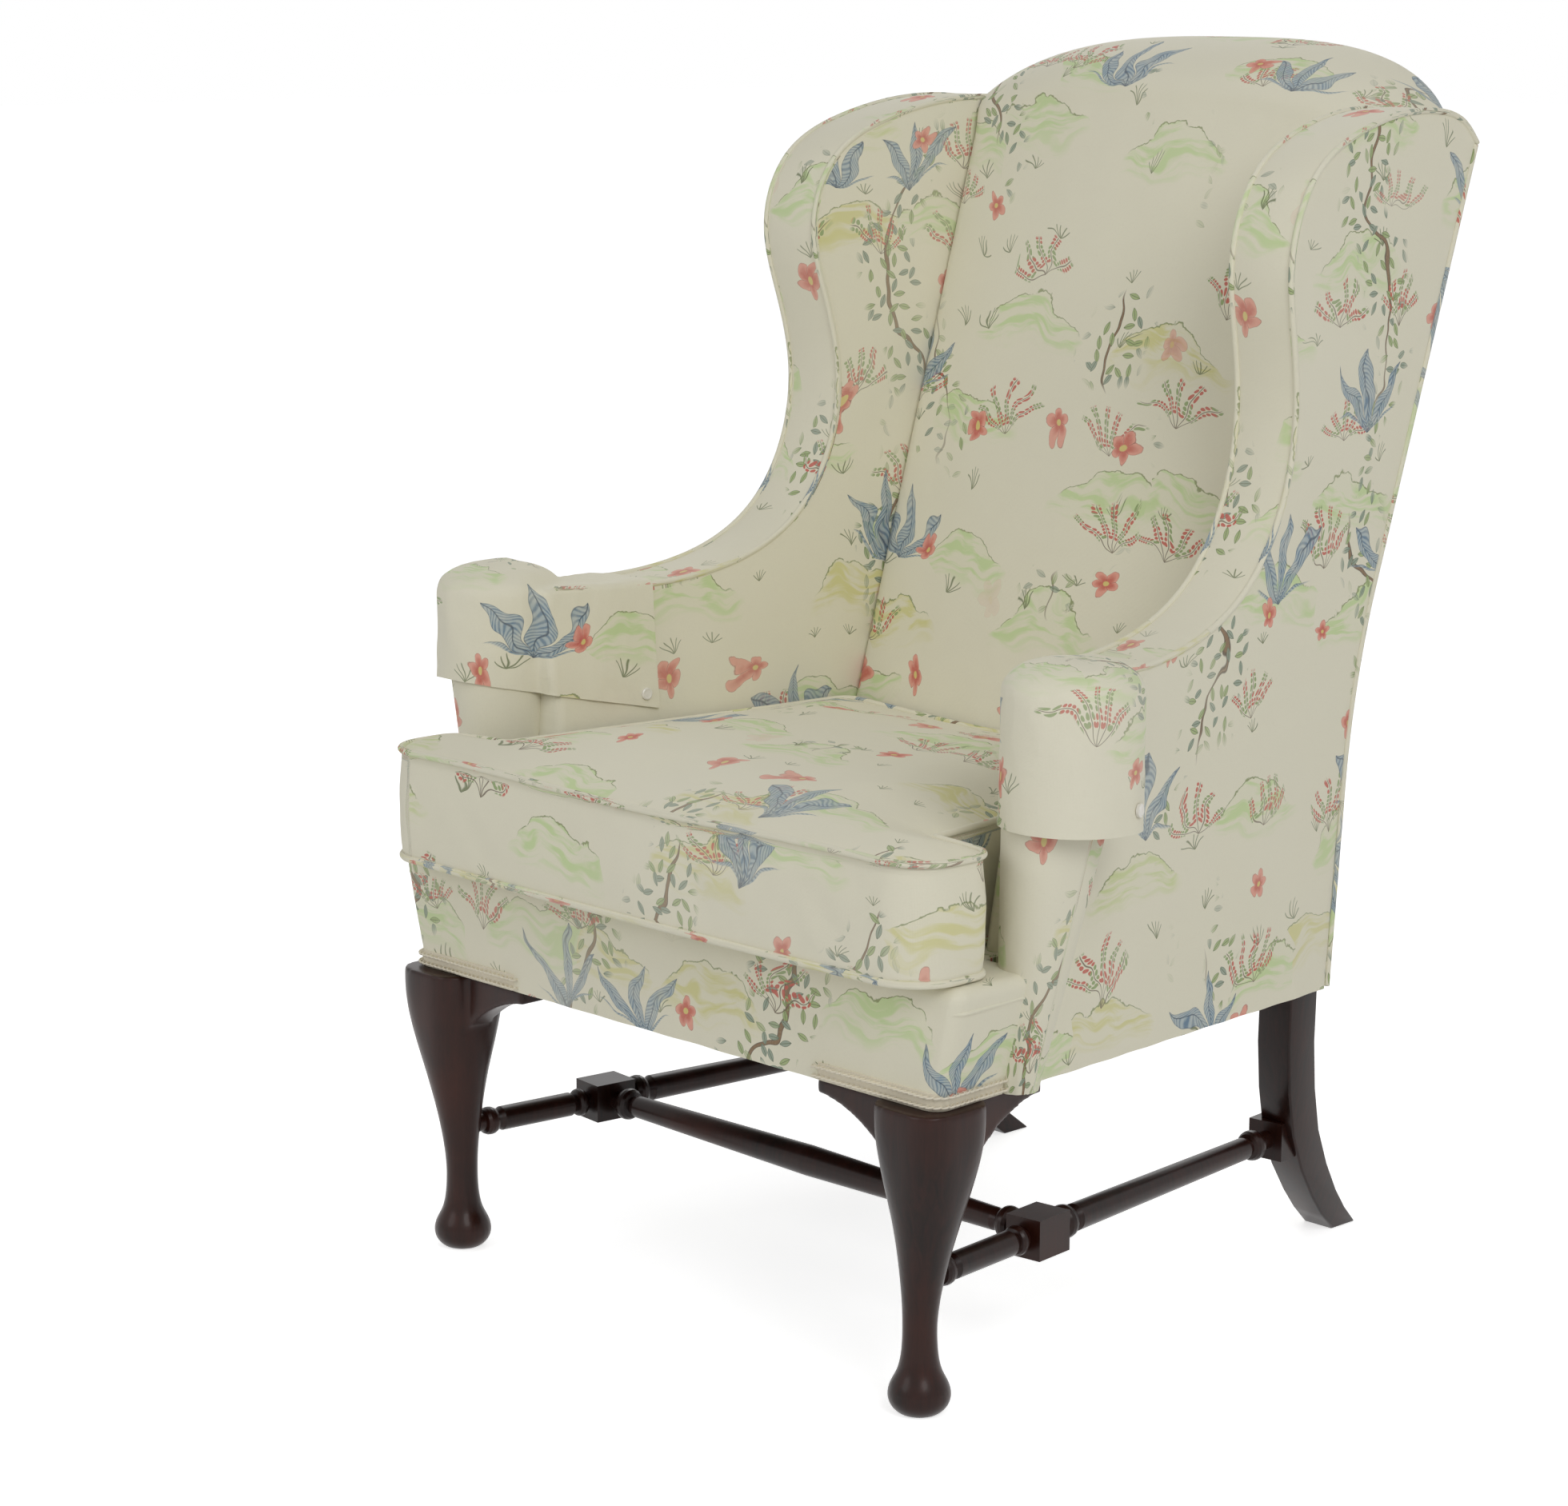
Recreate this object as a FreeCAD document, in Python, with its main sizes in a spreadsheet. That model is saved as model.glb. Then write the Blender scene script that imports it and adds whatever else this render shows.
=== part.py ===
import FreeCAD, Part
import math
import os

import Sketcher

# Wing armchair with a loose T cushion and two slip-on arm covers.
# The frame stands on the floor at z = 0, the front faces -Y and the viewer's right is +X.
# A "depth" is a distance behind the front face of the seat, so y = seat_front + depth.

Vec = FreeCAD.Vector
doc = FreeCAD.newDocument("wing_armchair")
sheet = doc.addObject("Spreadsheet::Sheet", "sizes")

SIZES = [
    # seat box
    ("seat_front", -375.4),
    ("seat_half_front", 353),
    ("seat_bottom", 284),
    ("rail_tall", 75),
    ("rail_thick", 28),
    ("rail_lift", 3),
    ("deck_top", 396),
    ("border_pad", 13),
    ("border_flare", 30),
    ("border_round", 14),
    ("cover_cloth", 5),
    # rear edge of the side panels, as seen from the side
    ("rear_half", 314),
    ("rear_depth_low", 582),
    ("rear_slope_low", 0.075),
    ("rear_depth_high", 772),
    ("rear_slope_high", 0.33),
    ("rear_high", 1084),
    ("bend_start", 480),
    ("bend_end", 680),
    # side panels, arms and wings
    ("side_taper", 0.0709),
    ("arm_flare", 55),
    ("flare_reach", 602),
    ("arm_top", 645),
    ("side_thick", 71),
    ("board_thick", 28),
    ("board_wide", 44),
    ("band_thick", 6),
    ("wing_waist_depth", 484),
    ("wing_waist_high", 838),
    ("wing_nose_depth", 459),
    ("wing_nose_high", 990),
    ("wing_top", 1116),
    ("arm_rail_bottom", 594),
    ("arm_rail_top", 634),
    ("top_rail_bottom", 1030),
    # rolled arm fronts
    ("roll_low_x", 350),
    ("roll_low_depth", 106),
    ("roll_high_x", 385),
    ("roll_high_depth", 132),
    ("roll_low_radius", 19),
    ("roll_high_radius", 60),
    ("roll_shoulder", 640),
    ("roll_dome", 25),
    ("roll_pad", 12),
    # back
    ("back_front_low", 490),
    ("back_slope", 0.295),
    ("back_crown", 24),
    ("back_half", 253),
    ("crest_half", 292),
    ("crest_top", 1180),
    ("crest_rise", 104),
    ("crest_pad", 14),
    ("crest_rail_bottom", 1040),
    ("stay_rail_bottom", 410),
    ("stay_rail_tall", 45),
    ("stile_wide", 40),
    ("stile_deep", 40),
    ("stile_inner", 266),
    ("stile_top", 1066),
    ("strap_wide", 50),
    ("strap_thick", 2),
    # legs and stretchers
    ("post_side", 56),
    ("foot_front_x", 318),
    ("foot_front_depth", 20),
    ("foot_rear_x", 226),
    ("foot_rear_depth", 708),
    ("knee_bracket_long", 84),
    ("knee_bracket_tall", 34),
    ("knee_bracket_thick", 30),
    ("knee_reach", 62),
    ("knee_inset", 4),
    ("stretcher_high", 122),
    ("stretcher_set_in", 6.6),
    ("stretcher_set_back", 14),
    ("stretcher_block", 38),
    ("stretcher_radius", 12),
    ("bead_radius", 16),
    ("neck_radius", 9),
    ("cross_depth", 192),
    ("gimp_tall", 17),
    ("gimp_thick", 3),
    # loose cushion
    ("cushion_front", 36),
    ("cushion_ear_half", 366),
    ("cushion_ear_deep", 96),
    ("cushion_neck_front", 292),
    ("cushion_neck_rear", 240),
    ("cushion_edge", 505),
    ("cushion_crown", 26),
    ("cushion_bulge", 3),
    ("cushion_corner", 44),
    # arm covers
    ("arm_cover_thick", 2.5),
    ("arm_cover_gap", 1.1),
    ("arm_cover_hem", 533),
    ("arm_cover_hem_rear", 517),
    ("arm_cover_rear", 250),
    ("arm_cover_free", 16),
    ("button_radius", 6),
    ("button_thick", 3),
    ("soft_gap", 0.4),
    ("back_gap", 2),
]

for row, (alias, value) in enumerate(SIZES, 1):
    sheet.set("A%d" % row, alias)
    sheet.set("B%d" % row, str(value))
    sheet.setAlias("B%d" % row, alias)
doc.recompute()


def size(alias):
    return float(sheet.get(alias))


# General helpers

def line(start, end):
    return Part.LineSegment(start, end).toShape()


def arc(start, middle, end):
    return Part.Arc(start, middle, end).toShape()


def bow(start, middle, end):
    """A parabola through three points, which may also lie in line."""
    curve = Part.BezierCurve()
    curve.setPoles([start, middle * 2 - (start + end) * 0.5, end])
    return curve.toShape()


def polygon(points):
    return Part.makePolygon(points + points[:1])


def mirrored(shape, side):
    if side == "right":
        return shape
    return shape.mirror(Vec(0, 0, 0), Vec(1, 0, 0))


def sign_of(side):
    return 1 if side == "right" else -1


def depth_to_y(depth):
    return size("seat_front") + depth


def feature(name, shape):
    obj = doc.addObject("Part::Feature", name)
    obj.Label = name
    obj.Shape = shape
    obj.Placement = FreeCAD.Placement()
    parts.append(obj)
    return obj


def block(x_range, y_range, z_range):
    corner = Vec(x_range[0], y_range[0], z_range[0])
    return Part.makeBox(x_range[1] - x_range[0], y_range[1] - y_range[0], z_range[1] - z_range[0], corner)


def largest(shape):
    return max(shape.Solids, key=lambda part: part.Volume)


def bind(obj, **formulas):
    for path, formula in formulas.items():
        obj.setExpression(path.replace("__", "."), formula)


def plane_of(body, role):
    return next(item for item in body.Origin.OriginFeatures if item.Role == role)


def outline_sketch(body, name, role, corners):
    """A closed polygon whose corners are pairs of formulas, each held by its own two distances."""
    sketch = body.newObject("Sketcher::SketchObject", name)
    sketch.AttachmentSupport = (plane_of(body, role), "")
    sketch.MapMode = "FlatFace"
    spots = [Vec(value_of(across), value_of(up), 0) for across, up in corners]
    for index, spot in enumerate(spots):
        sketch.addGeometry(Part.LineSegment(spot, spots[(index + 1) % len(spots)]))
    for index in range(len(spots)):
        sketch.addConstraint(Sketcher.Constraint("Coincident", index, 2, (index + 1) % len(spots), 1))
    for index, (across, up) in enumerate(corners):
        for kind, formula, tag in (("DistanceX", across, "across"), ("DistanceY", up, "up")):
            number = sketch.addConstraint(Sketcher.Constraint(kind, index, 1, value_of(formula)))
            sketch.renameConstraint(number, "%s%d" % (tag, index))
            sketch.setExpression("Constraints.%s%d" % (tag, index), formula)
    return sketch


def value_of(formula):
    """The present value of a formula that reads the sheet."""
    return float(sheet.evalExpression(str(formula).replace("sizes.", "")))


def new_body(name):
    body = doc.addObject("PartDesign::Body", name)
    body.Label = name
    parts.append(body)
    return body


def turned(body, stations):
    """Revolves a profile of (station, radius) formulas round the body's X axis."""
    start, end = stations[0][0], stations[-1][0]
    sketch = outline_sketch(body, body.Name + "_profile", "XY_Plane",
                            [(start, "0")] + stations + [(end, "0")])
    turn = body.newObject("PartDesign::Revolution", body.Name + "_turn")
    turn.Profile = sketch
    turn.ReferenceAxis = (sketch, ["H_Axis"])
    turn.Angle = 360
    return turn


parts = []
seat_front = size("seat_front")
seat_bottom = size("seat_bottom")
rail_bottom = seat_bottom + size("rail_lift")
rail_top = rail_bottom + size("rail_tall")
cloth = size("cover_cloth")
board_in = cloth + size("board_thick")
side_thick = size("side_thick")
band = size("band_thick")
far = 400


# Shape of the sides

def rear_depth(z):
    """Depth of the rear edge of the side panels: two straight stretches and a bend."""
    low = size("rear_depth_low") + size("rear_slope_low") * (z - seat_bottom)
    high = size("rear_depth_high") - size("rear_slope_high") * (size("rear_high") - z)
    start, end = size("bend_start"), size("bend_end")
    if z <= start:
        return low
    if z >= end:
        return high
    share = (z - start) / (end - start)
    ends = (1 - share) ** 2 * (size("rear_depth_low") + size("rear_slope_low") * (start - seat_bottom))
    ends += share ** 2 * (size("rear_depth_high") - size("rear_slope_high") * (size("rear_high") - end))
    return ends + 2 * share * (1 - share) * (size("rear_depth_low")
                                             + size("rear_slope_low") * (rear_middle - seat_bottom))


rear_middle = (size("bend_start") + size("bend_end")) / 2


def outer_x(depth, z):
    """Outer face of the arm and wing: a slight taper to the rear and a flare at the arm."""
    ahead = rear_depth(z) - depth
    rise = min(1, max(0, (z - seat_bottom) / (size("arm_top") - seat_bottom)))
    flare = size("arm_flare") * rise * (ahead / size("flare_reach")) ** 2
    return size("rear_half") + size("side_taper") * ahead + flare


def side_slab(inset_out, inset_in):
    """The layer of the right side between two distances inward from its outer face."""
    wires = []
    front_depth = size("roll_low_depth") - 30
    for z in (seat_bottom, size("arm_top"), size("wing_top") + 80):
        rear = rear_depth(z) + 10
        depths = (front_depth, (front_depth + rear) / 2, rear)
        outer = [Vec(outer_x(d, z) - inset_out, depth_to_y(d), z) for d in depths]
        inner = [Vec(outer_x(d, z) - inset_in, depth_to_y(d), z) for d in depths]
        wires.append(Part.Wire([bow(*outer), line(outer[2], inner[2]),
                                bow(*inner[::-1]), line(inner[0], outer[0])]))
    return Part.makeLoft(wires, True, True)


def top_line(inset, keep_corner=True):
    """Arm top and wing edge seen from the side, from the arm front to the rear corner."""
    arm, waist_d, waist_z = size("arm_top"), size("wing_waist_depth"), size("wing_waist_high")
    nose_d, nose_z, top = size("wing_nose_depth"), size("wing_nose_high"), size("wing_top")
    sweep = waist_z - arm
    spots = [
        (size("roll_low_depth") - 30, arm + 8),
        (waist_d - 1.6 * sweep, arm),
        (waist_d - sweep, arm + 2),
        (waist_d - 0.29 * sweep, arm + 0.295 * sweep),
        (waist_d, waist_z),
        (0.45 * waist_d + 0.55 * nose_d, 0.45 * waist_z + 0.55 * nose_z),
        (nose_d, nose_z),
        (nose_d + 0.24 * (top - nose_z), 0.44 * nose_z + 0.56 * top),
        (nose_d + 0.8 * (top - nose_z), top - 0.14 * (top - nose_z)),
        (size("rear_depth_high") - 72, top),
    ]
    if keep_corner:
        spots.append((size("rear_depth_high") - 22, 0.4 * size("rear_high") + 0.6 * top))
        spots.append((size("rear_depth_high"), size("rear_high")))
    curve = Part.BSplineCurve()
    curve.interpolate([Vec(0, depth_to_y(d), z) for d, z in spots])
    if inset == 0:
        return curve
    shifted = []
    for d, z in spots:
        spot = Vec(0, depth_to_y(d), z)
        along = curve.tangent(curve.parameter(spot))[0]
        shifted.append(spot + Vec(0, along.z, -along.y) * inset)
    curve = Part.BSplineCurve()
    curve.interpolate(shifted)
    return curve


def rear_point(z, inset):
    return Vec(0, depth_to_y(rear_depth(z) - inset), z)


def side_region(inset, rear_inset, bottom, front_shift=0):
    """Prism across the right side, under the arm and wing line and ahead of the rear edge."""
    curve = top_line(inset)
    start, end = curve.StartPoint, curve.EndPoint
    rear = depth_to_y(size("rear_depth_high") + 200)
    face = Part.Face(Part.Wire([curve.toShape(), line(end, Vec(0, rear, end.z)),
                                line(Vec(0, rear, end.z), Vec(0, rear, bottom)),
                                line(Vec(0, rear, bottom), Vec(0, start.y, bottom)),
                                line(Vec(0, start.y, bottom), start)]))
    prism = face.extrude(Vec(far, 0, 0))
    prism.translate(Vec(size("rear_half") - 150, 0, 0))
    behind = rear_layer(-far, rear_inset, bottom - 20, size("wing_top") + 40, 2 * far)
    return prism.cut(ahead_of_roll(front_shift)).cut(behind)


def ahead_of_roll(shift):
    """Everything in front of the roll's axis, which the side pieces leave free."""
    low, high = roll_spot(seat_bottom - 50), roll_spot(size("wing_top"))
    front = depth_to_y(-200)
    face = Part.Face(polygon([Vec(0, front, low.z), Vec(0, low.y + shift, low.z),
                              Vec(0, high.y + shift, high.z), Vec(0, front, high.z)]))
    prism = face.extrude(Vec(2 * far, 0, 0))
    return prism


def under_line(inset, keep_corner):
    """Prism under the arm and wing line, carried on past the rear and the floor."""
    curve = top_line(inset, keep_corner)
    start, end = curve.StartPoint, curve.EndPoint
    rear = depth_to_y(size("rear_depth_high") + 200)
    face = Part.Face(Part.Wire([curve.toShape(), line(end, Vec(0, rear, end.z)),
                                line(Vec(0, rear, end.z), Vec(0, rear, 0)),
                                line(Vec(0, rear, 0), Vec(0, start.y, 0)),
                                line(Vec(0, start.y, 0), start)]))
    prism = face.extrude(Vec(far, 0, 0))
    prism.translate(Vec(size("rear_half") - 150, 0, 0))
    return prism


# Rolled arm fronts: a wooden cone that leans outward, with padding over it

def roll_spot(z):
    """Point of the right roll's axis at a height."""
    share = (z - seat_bottom) / (size("roll_shoulder") - seat_bottom)
    x = size("roll_low_x") + share * (size("roll_high_x") - size("roll_low_x"))
    depth = size("roll_low_depth") + share * (size("roll_high_depth") - size("roll_low_depth"))
    return Vec(x, depth_to_y(depth), z)


# Legs

def loft_sketch(body, name, height, across, back, outline):
    """One horizontal section of a leg, at a height, centred on (across, back)."""
    sketch = body.newObject("Sketcher::SketchObject", name)
    sketch.AttachmentSupport = (plane_of(body, "XY_Plane"), "")
    sketch.MapMode = "FlatFace"
    bind(sketch, AttachmentOffset__Base__x=across, AttachmentOffset__Base__y=back,
         AttachmentOffset__Base__z=height)
    if outline[0] == "round":
        sketch.addGeometry(Part.Circle(Vec(0, 0, 0), Vec(0, 0, 1), value_of(outline[1])))
        sketch.addConstraint(Sketcher.Constraint("Coincident", 0, 3, -1, 1))
        number = sketch.addConstraint(Sketcher.Constraint("Radius", 0, value_of(outline[1])))
        sketch.renameConstraint(number, "radius")
        sketch.setExpression("Constraints.radius", outline[1])
        return sketch
    half_wide, half_deep = outline[1:]
    corners = [("-(%s)" % half_wide, "-(%s)" % half_deep), (half_wide, "-(%s)" % half_deep),
               (half_wide, half_deep), ("-(%s)" % half_wide, half_deep)]
    spots = [Vec(value_of(a), value_of(b), 0) for a, b in corners]
    for index, spot in enumerate(spots):
        sketch.addGeometry(Part.LineSegment(spot, spots[(index + 1) % 4]))
    for index in range(4):
        sketch.addConstraint(Sketcher.Constraint("Coincident", index, 2, (index + 1) % 4, 1))
    for index, (across_formula, back_formula) in enumerate(corners):
        for kind, formula, tag in (("DistanceX", across_formula, "across"), ("DistanceY", back_formula, "back")):
            number = sketch.addConstraint(Sketcher.Constraint(kind, index, 1, value_of(formula)))
            sketch.renameConstraint(number, "%s%d" % (tag, index))
            sketch.setExpression("Constraints.%s%d" % (tag, index), formula)
    return sketch


def lofted(body, tag, sections, ruled):
    sketches = [loft_sketch(body, "%s_%s%d" % (body.Name, tag, index), *section)
                for index, section in enumerate(sections)]
    loft = body.newObject("PartDesign::AdditiveLoft", "%s_%s" % (body.Name, tag))
    loft.Profile = sketches[0]
    loft.Sections = sketches[1:]
    loft.Ruled = ruled
    return loft


# Radius of the front leg: by height in the foot, then by share of the leg's height, with the
# share of the knee's outward lean
PAD_FOOT = [(0, 19), (5, 24), (11, 27), (18, 28.5), (25, 27.5), (32, 24.5), (39, 21), (47, 18), (58, 16.5)]
KNEE = [(0.28, 16, 0.0), (0.36, 17.5, 0.1), (0.44, 20.5, 0.25), (0.52, 24.5, 0.45), (0.6, 29.5, 0.65),
        (0.68, 34.5, 0.8), (0.76, 39, 0.92), (0.84, 42.5, 1.0), (0.92, 44, 1.0), (1, 43, 1.0)]


def front_leg(side):
    """Cabriole leg on a pad foot, with a square post that the seat rails are tenoned into."""
    flip = sign_of(side)
    body = new_body("front_leg_%s" % side)
    foot_x, foot_y = "%d * sizes.foot_front_x" % flip, "sizes.seat_front + sizes.foot_front_depth"
    post_x = "%d * (sizes.seat_half_front - sizes.border_pad - sizes.post_side / 2)" % flip
    post_y = "sizes.seat_front + sizes.border_pad + sizes.post_side / 2"
    sections = []
    for up, radius in PAD_FOOT:
        sections.append((str(up), foot_x, foot_y, ("round", str(radius))))
    for share, radius, lean in KNEE:
        sections.append(("sizes.seat_bottom * %s" % share, "%s + %d * 9 * %s" % (foot_x, flip, lean),
                         "%s + %s" % (foot_y, lean), ("round", str(radius))))
    lofted(body, "leg", sections, True)
    post = loft_sketch(body, body.Name + "_post_outline", "sizes.seat_bottom", post_x, post_y,
                       ("square", "sizes.post_side / 2", "sizes.post_side / 2"))
    pad = body.newObject("PartDesign::Pad", body.Name + "_post")
    pad.Profile = post
    bind(pad, Length="sizes.rail_lift + sizes.rail_tall")
    return body


# Rear leg by share of its height: how far it has moved to the foot inward and rearward, and how slim it is
REAR_LEG = [(0, 1.0, 1.0, 0.92), (0.08, 0.88, 0.82, 0.94), (0.17, 0.75, 0.65, 0.96), (0.3, 0.57, 0.44, 1),
            (0.45, 0.4, 0.26, 1), (0.62, 0.24, 0.13, 1), (0.8, 0.1, 0.04, 1), (1, 0, 0, 1)]


def rear_leg_share(column):
    """Formula for one column of the rear leg's table at the height of the stretchers."""
    share = size("stretcher_high") / size("seat_bottom")
    above = next(index for index, row in enumerate(REAR_LEG) if row[0] >= share)
    low, high = REAR_LEG[above - 1], REAR_LEG[above]
    return "(%s + %s * (sizes.stretcher_high / sizes.seat_bottom - %s) / %s)" % (
        low[column], high[column] - low[column], low[0], high[0] - low[0])


# Rear end of the side stretchers, which follows the rear leg at their height
LEG_TOP_X = "(sizes.stile_inner + sizes.stile_wide / 2)"
LEG_TOP_DEPTH = "(sizes.rear_depth_low - sizes.cover_cloth - sizes.stile_deep / 2)"
STRETCHER_REAR_X = "(%s + (sizes.foot_rear_x - %s) * %s - sizes.stretcher_set_in)" % (
    LEG_TOP_X, LEG_TOP_X, rear_leg_share(1))
STRETCHER_REAR_DEPTH = "(%s + (sizes.foot_rear_depth - %s) * %s - sizes.stretcher_set_back)" % (
    LEG_TOP_DEPTH, LEG_TOP_DEPTH, rear_leg_share(2))


def rear_leg(side):
    """Square raked leg that runs on up as the back stile."""
    flip = sign_of(side)
    body = new_body("rear_leg_%s" % side)
    half_wide, half_deep = "sizes.stile_wide / 2", "sizes.stile_deep / 2"
    stile_x = "%d * (sizes.stile_inner + sizes.stile_wide / 2)" % flip
    foot_x = "%d * sizes.foot_rear_x" % flip
    low_depth = LEG_TOP_DEPTH
    sections = []
    for up, inward, raked, slim in REAR_LEG:
        sections.append(("sizes.seat_bottom * %s" % up,
                         "%s + (%s - %s) * %s" % (stile_x, foot_x, stile_x, inward),
                         "sizes.seat_front + %s + (sizes.foot_rear_depth - %s) * %s" % (low_depth, low_depth, raked),
                         ("square", "%s * %s" % (half_wide, slim), "%s * %s" % (half_deep, slim))))
    lofted(body, "leg", sections, True)
    inset = "(sizes.cover_cloth + sizes.stile_deep / 2)"
    heights = ["sizes.seat_bottom", "sizes.bend_start", "sizes.bend_end", "sizes.stile_top"]
    middle = "(sizes.bend_start + sizes.bend_end) / 2"
    low = "sizes.rear_depth_low + sizes.rear_slope_low * (%s - sizes.seat_bottom)"
    high = "sizes.rear_depth_high - sizes.rear_slope_high * (sizes.rear_high - %s)"
    bend = "((%s) / 2 + (%s) / 4 + (%s) / 4)" % (low % middle, low % heights[1], high % heights[2])
    places = [(heights[0], low % heights[0]), (heights[1], low % heights[1]), (middle, bend),
              (heights[2], high % heights[2]), (heights[3], high % heights[3])]
    stile = [(height, stile_x, "sizes.seat_front + %s - %s" % (depth, inset), ("square", half_wide, half_deep))
             for height, depth in places]
    lofted(body, "stile", stile, True)
    return body


def knee_bracket(side, place):
    """Shaped bracket between the knee of a front leg and the seat, cut round the leg."""
    leg = shape_of("front_leg_%s" % side)
    long, tall, thick = size("knee_bracket_long"), size("knee_bracket_tall"), size("knee_bracket_thick")
    reach, front = size("knee_reach"), seat_front + size("knee_inset")
    outer = size("seat_half_front") - size("knee_inset")
    tip, low = Vec(-reach - long, 0, -0.4 * tall), Vec(0.25 * long - reach, 0, -2.2 * tall)
    curve = Part.BezierCurve()
    curve.setPoles([tip, Vec(-reach - 0.3 * long, 0, -0.55 * tall), low])
    edges = [line(Vec(0, 0, 0), Vec(tip.x, 0, 0)), line(Vec(tip.x, 0, 0), tip), curve.toShape(),
             line(low, Vec(0, 0, low.z)), line(Vec(0, 0, low.z), Vec(0, 0, 0))]
    prism = Part.Face(Part.Wire(edges)).extrude(Vec(0, thick, 0))
    if place == "side":
        prism.rotate(Vec(0, 0, 0), Vec(0, 0, 1), -90)
        prism.translate(Vec(outer - thick, front, seat_bottom))
        prism.rotate(Vec(outer, seat_front, 0), Vec(0, 0, 1), side_lean)
    else:
        prism.translate(Vec(outer, front, seat_bottom))
    keep_off = block((outer - reach, far), (seat_front - far, seat_front + reach), (0, seat_bottom))
    prism = mirrored(prism.cut(keep_off), side).cut(leg)
    return feature("knee_bracket_%s_%s" % (place, side), largest(prism))


def shape_of(name):
    return doc.getObject(name).Shape


# How far the sides of the seat lean inward towards the rear, in degrees
side_lean = math.degrees(math.atan2(size("seat_half_front") - size("rear_half"),
                                    size("rear_depth_low")))


def arm_roll(name, side, shrink, dome):
    """The cone of an arm front through level circles, with a dome on top if it is the padding."""
    flip = sign_of(side)
    body = new_body(name)
    low_x, high_x = "%d * sizes.roll_low_x" % flip, "%d * sizes.roll_high_x" % flip
    low_y, high_y = ("sizes.seat_front + sizes.roll_%s_depth" % end for end in ("low", "high"))
    low_radius, high_radius = ("sizes.roll_%s_radius - %s" % (end, shrink) for end in ("low", "high"))
    sections = [("sizes.seat_bottom", low_x, low_y, ("round", low_radius)),
                ("sizes.roll_shoulder - %s" % shrink, high_x, high_y, ("round", high_radius))]
    if dome:
        for up, wide in ((0.42, 0.93), (0.76, 0.72), (0.95, 0.38), (1, 0.08)):
            sections.append(("sizes.roll_shoulder + sizes.roll_dome * %s" % up, high_x, high_y,
                             ("round", "(%s) * %s" % (high_radius, wide))))
    lofted(body, "cone", sections, True)
    return body


def cut_node(name, base, tool):
    """A sub-part that is one object less another."""
    obj = doc.addObject("Part::Cut", name)
    obj.Label = name
    obj.Base = base
    obj.Tool = tool
    parts.append(obj)
    return obj


# Stretchers

def bead(middle, wide, base, swell):
    """Stations of a half-round bead that stands on a round of radius base."""
    stations = []
    for step in (-1, -0.8, -0.4, 0, 0.4, 0.8, 1):
        rise = math.sqrt(1 - step * step)
        stations.append(("%s + %s * %s" % (middle, wide, step), "%s + (%s - %s) * %s" % (base, swell, base, rise)))
    return stations


def square_pad(body, name, station, half, long):
    """A square block on the stretcher's axis, centred on a station."""
    sketch = outline_sketch(body, name + "_outline", "YZ_Plane",
                            [("-(%s)" % half, "-(%s)" % half), (half, "-(%s)" % half),
                             (half, half), ("-(%s)" % half, half)])
    sketch.setExpression("AttachmentOffset.Base.z", "%s - (%s) / 2" % (station, long))
    pad = body.newObject("PartDesign::Pad", name)
    pad.Profile = sketch
    pad.setExpression("Length", long)
    return pad


def side_stretcher(side):
    """Turned stretcher from the front leg to the rear leg, with a block for the cross stretcher."""
    flip = sign_of(side)
    name = "side_stretcher_%s" % side
    body = doc.addObject("PartDesign::Body", name + "_turning")
    run_x = "(%s - sizes.foot_front_x)" % STRETCHER_REAR_X
    run_y = "(%s - sizes.foot_front_depth)" % STRETCHER_REAR_DEPTH
    long = "sqrt(%s ^ 2 + %s ^ 2)" % (run_x, run_y)
    middle = "%s * (sizes.cross_depth - sizes.foot_front_depth) / %s" % (long, run_y)
    half = "sizes.stretcher_block / 2"
    neck, rod, swell = "sizes.neck_radius", "sizes.stretcher_radius", "sizes.bead_radius"
    stations = [("0", neck), ("22", neck)]
    stations += bead("32", "8", neck, "(%s - 2)" % swell)
    stations += [("46", rod), ("%s - %s - 26" % (middle, half), rod)]
    stations += bead("%s - %s - 14" % (middle, half), "6", neck, "(%s - 2)" % swell)
    stations += [("%s + %s + 8" % (middle, half), neck)]
    stations += bead("%s + %s + 20" % (middle, half), "9", neck, swell)
    stations += [("%s + %s + 36" % (middle, half), "%s + 1" % rod), ("%s - 62" % long, "%s - 1" % rod)]
    stations += bead("%s - 46" % long, "9", neck, "(%s - 1)" % swell)
    stations += [("%s - 4" % long, neck)]
    turned(body, stations)
    square_pad(body, name + "_block", middle, half, "sizes.stretcher_block + 8")
    square_pad(body, name + "_end_block", "%s - 4" % long, half, "36")
    start = Vec(flip * size("foot_front_x"), depth_to_y(size("foot_front_depth")), size("stretcher_high"))
    end = Vec(flip * value_of(STRETCHER_REAR_X), depth_to_y(value_of(STRETCHER_REAR_DEPTH)), start.z)
    body.Placement = FreeCAD.Placement(start, FreeCAD.Rotation(Vec(1, 0, 0), end - start))
    legs = doc.addObject("Part::Fuse", name + "_legs")
    legs.Base = doc.getObject("front_leg_%s" % side)
    legs.Tool = doc.getObject("rear_leg_%s" % side)
    return cut_node(name, body, legs)


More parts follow.
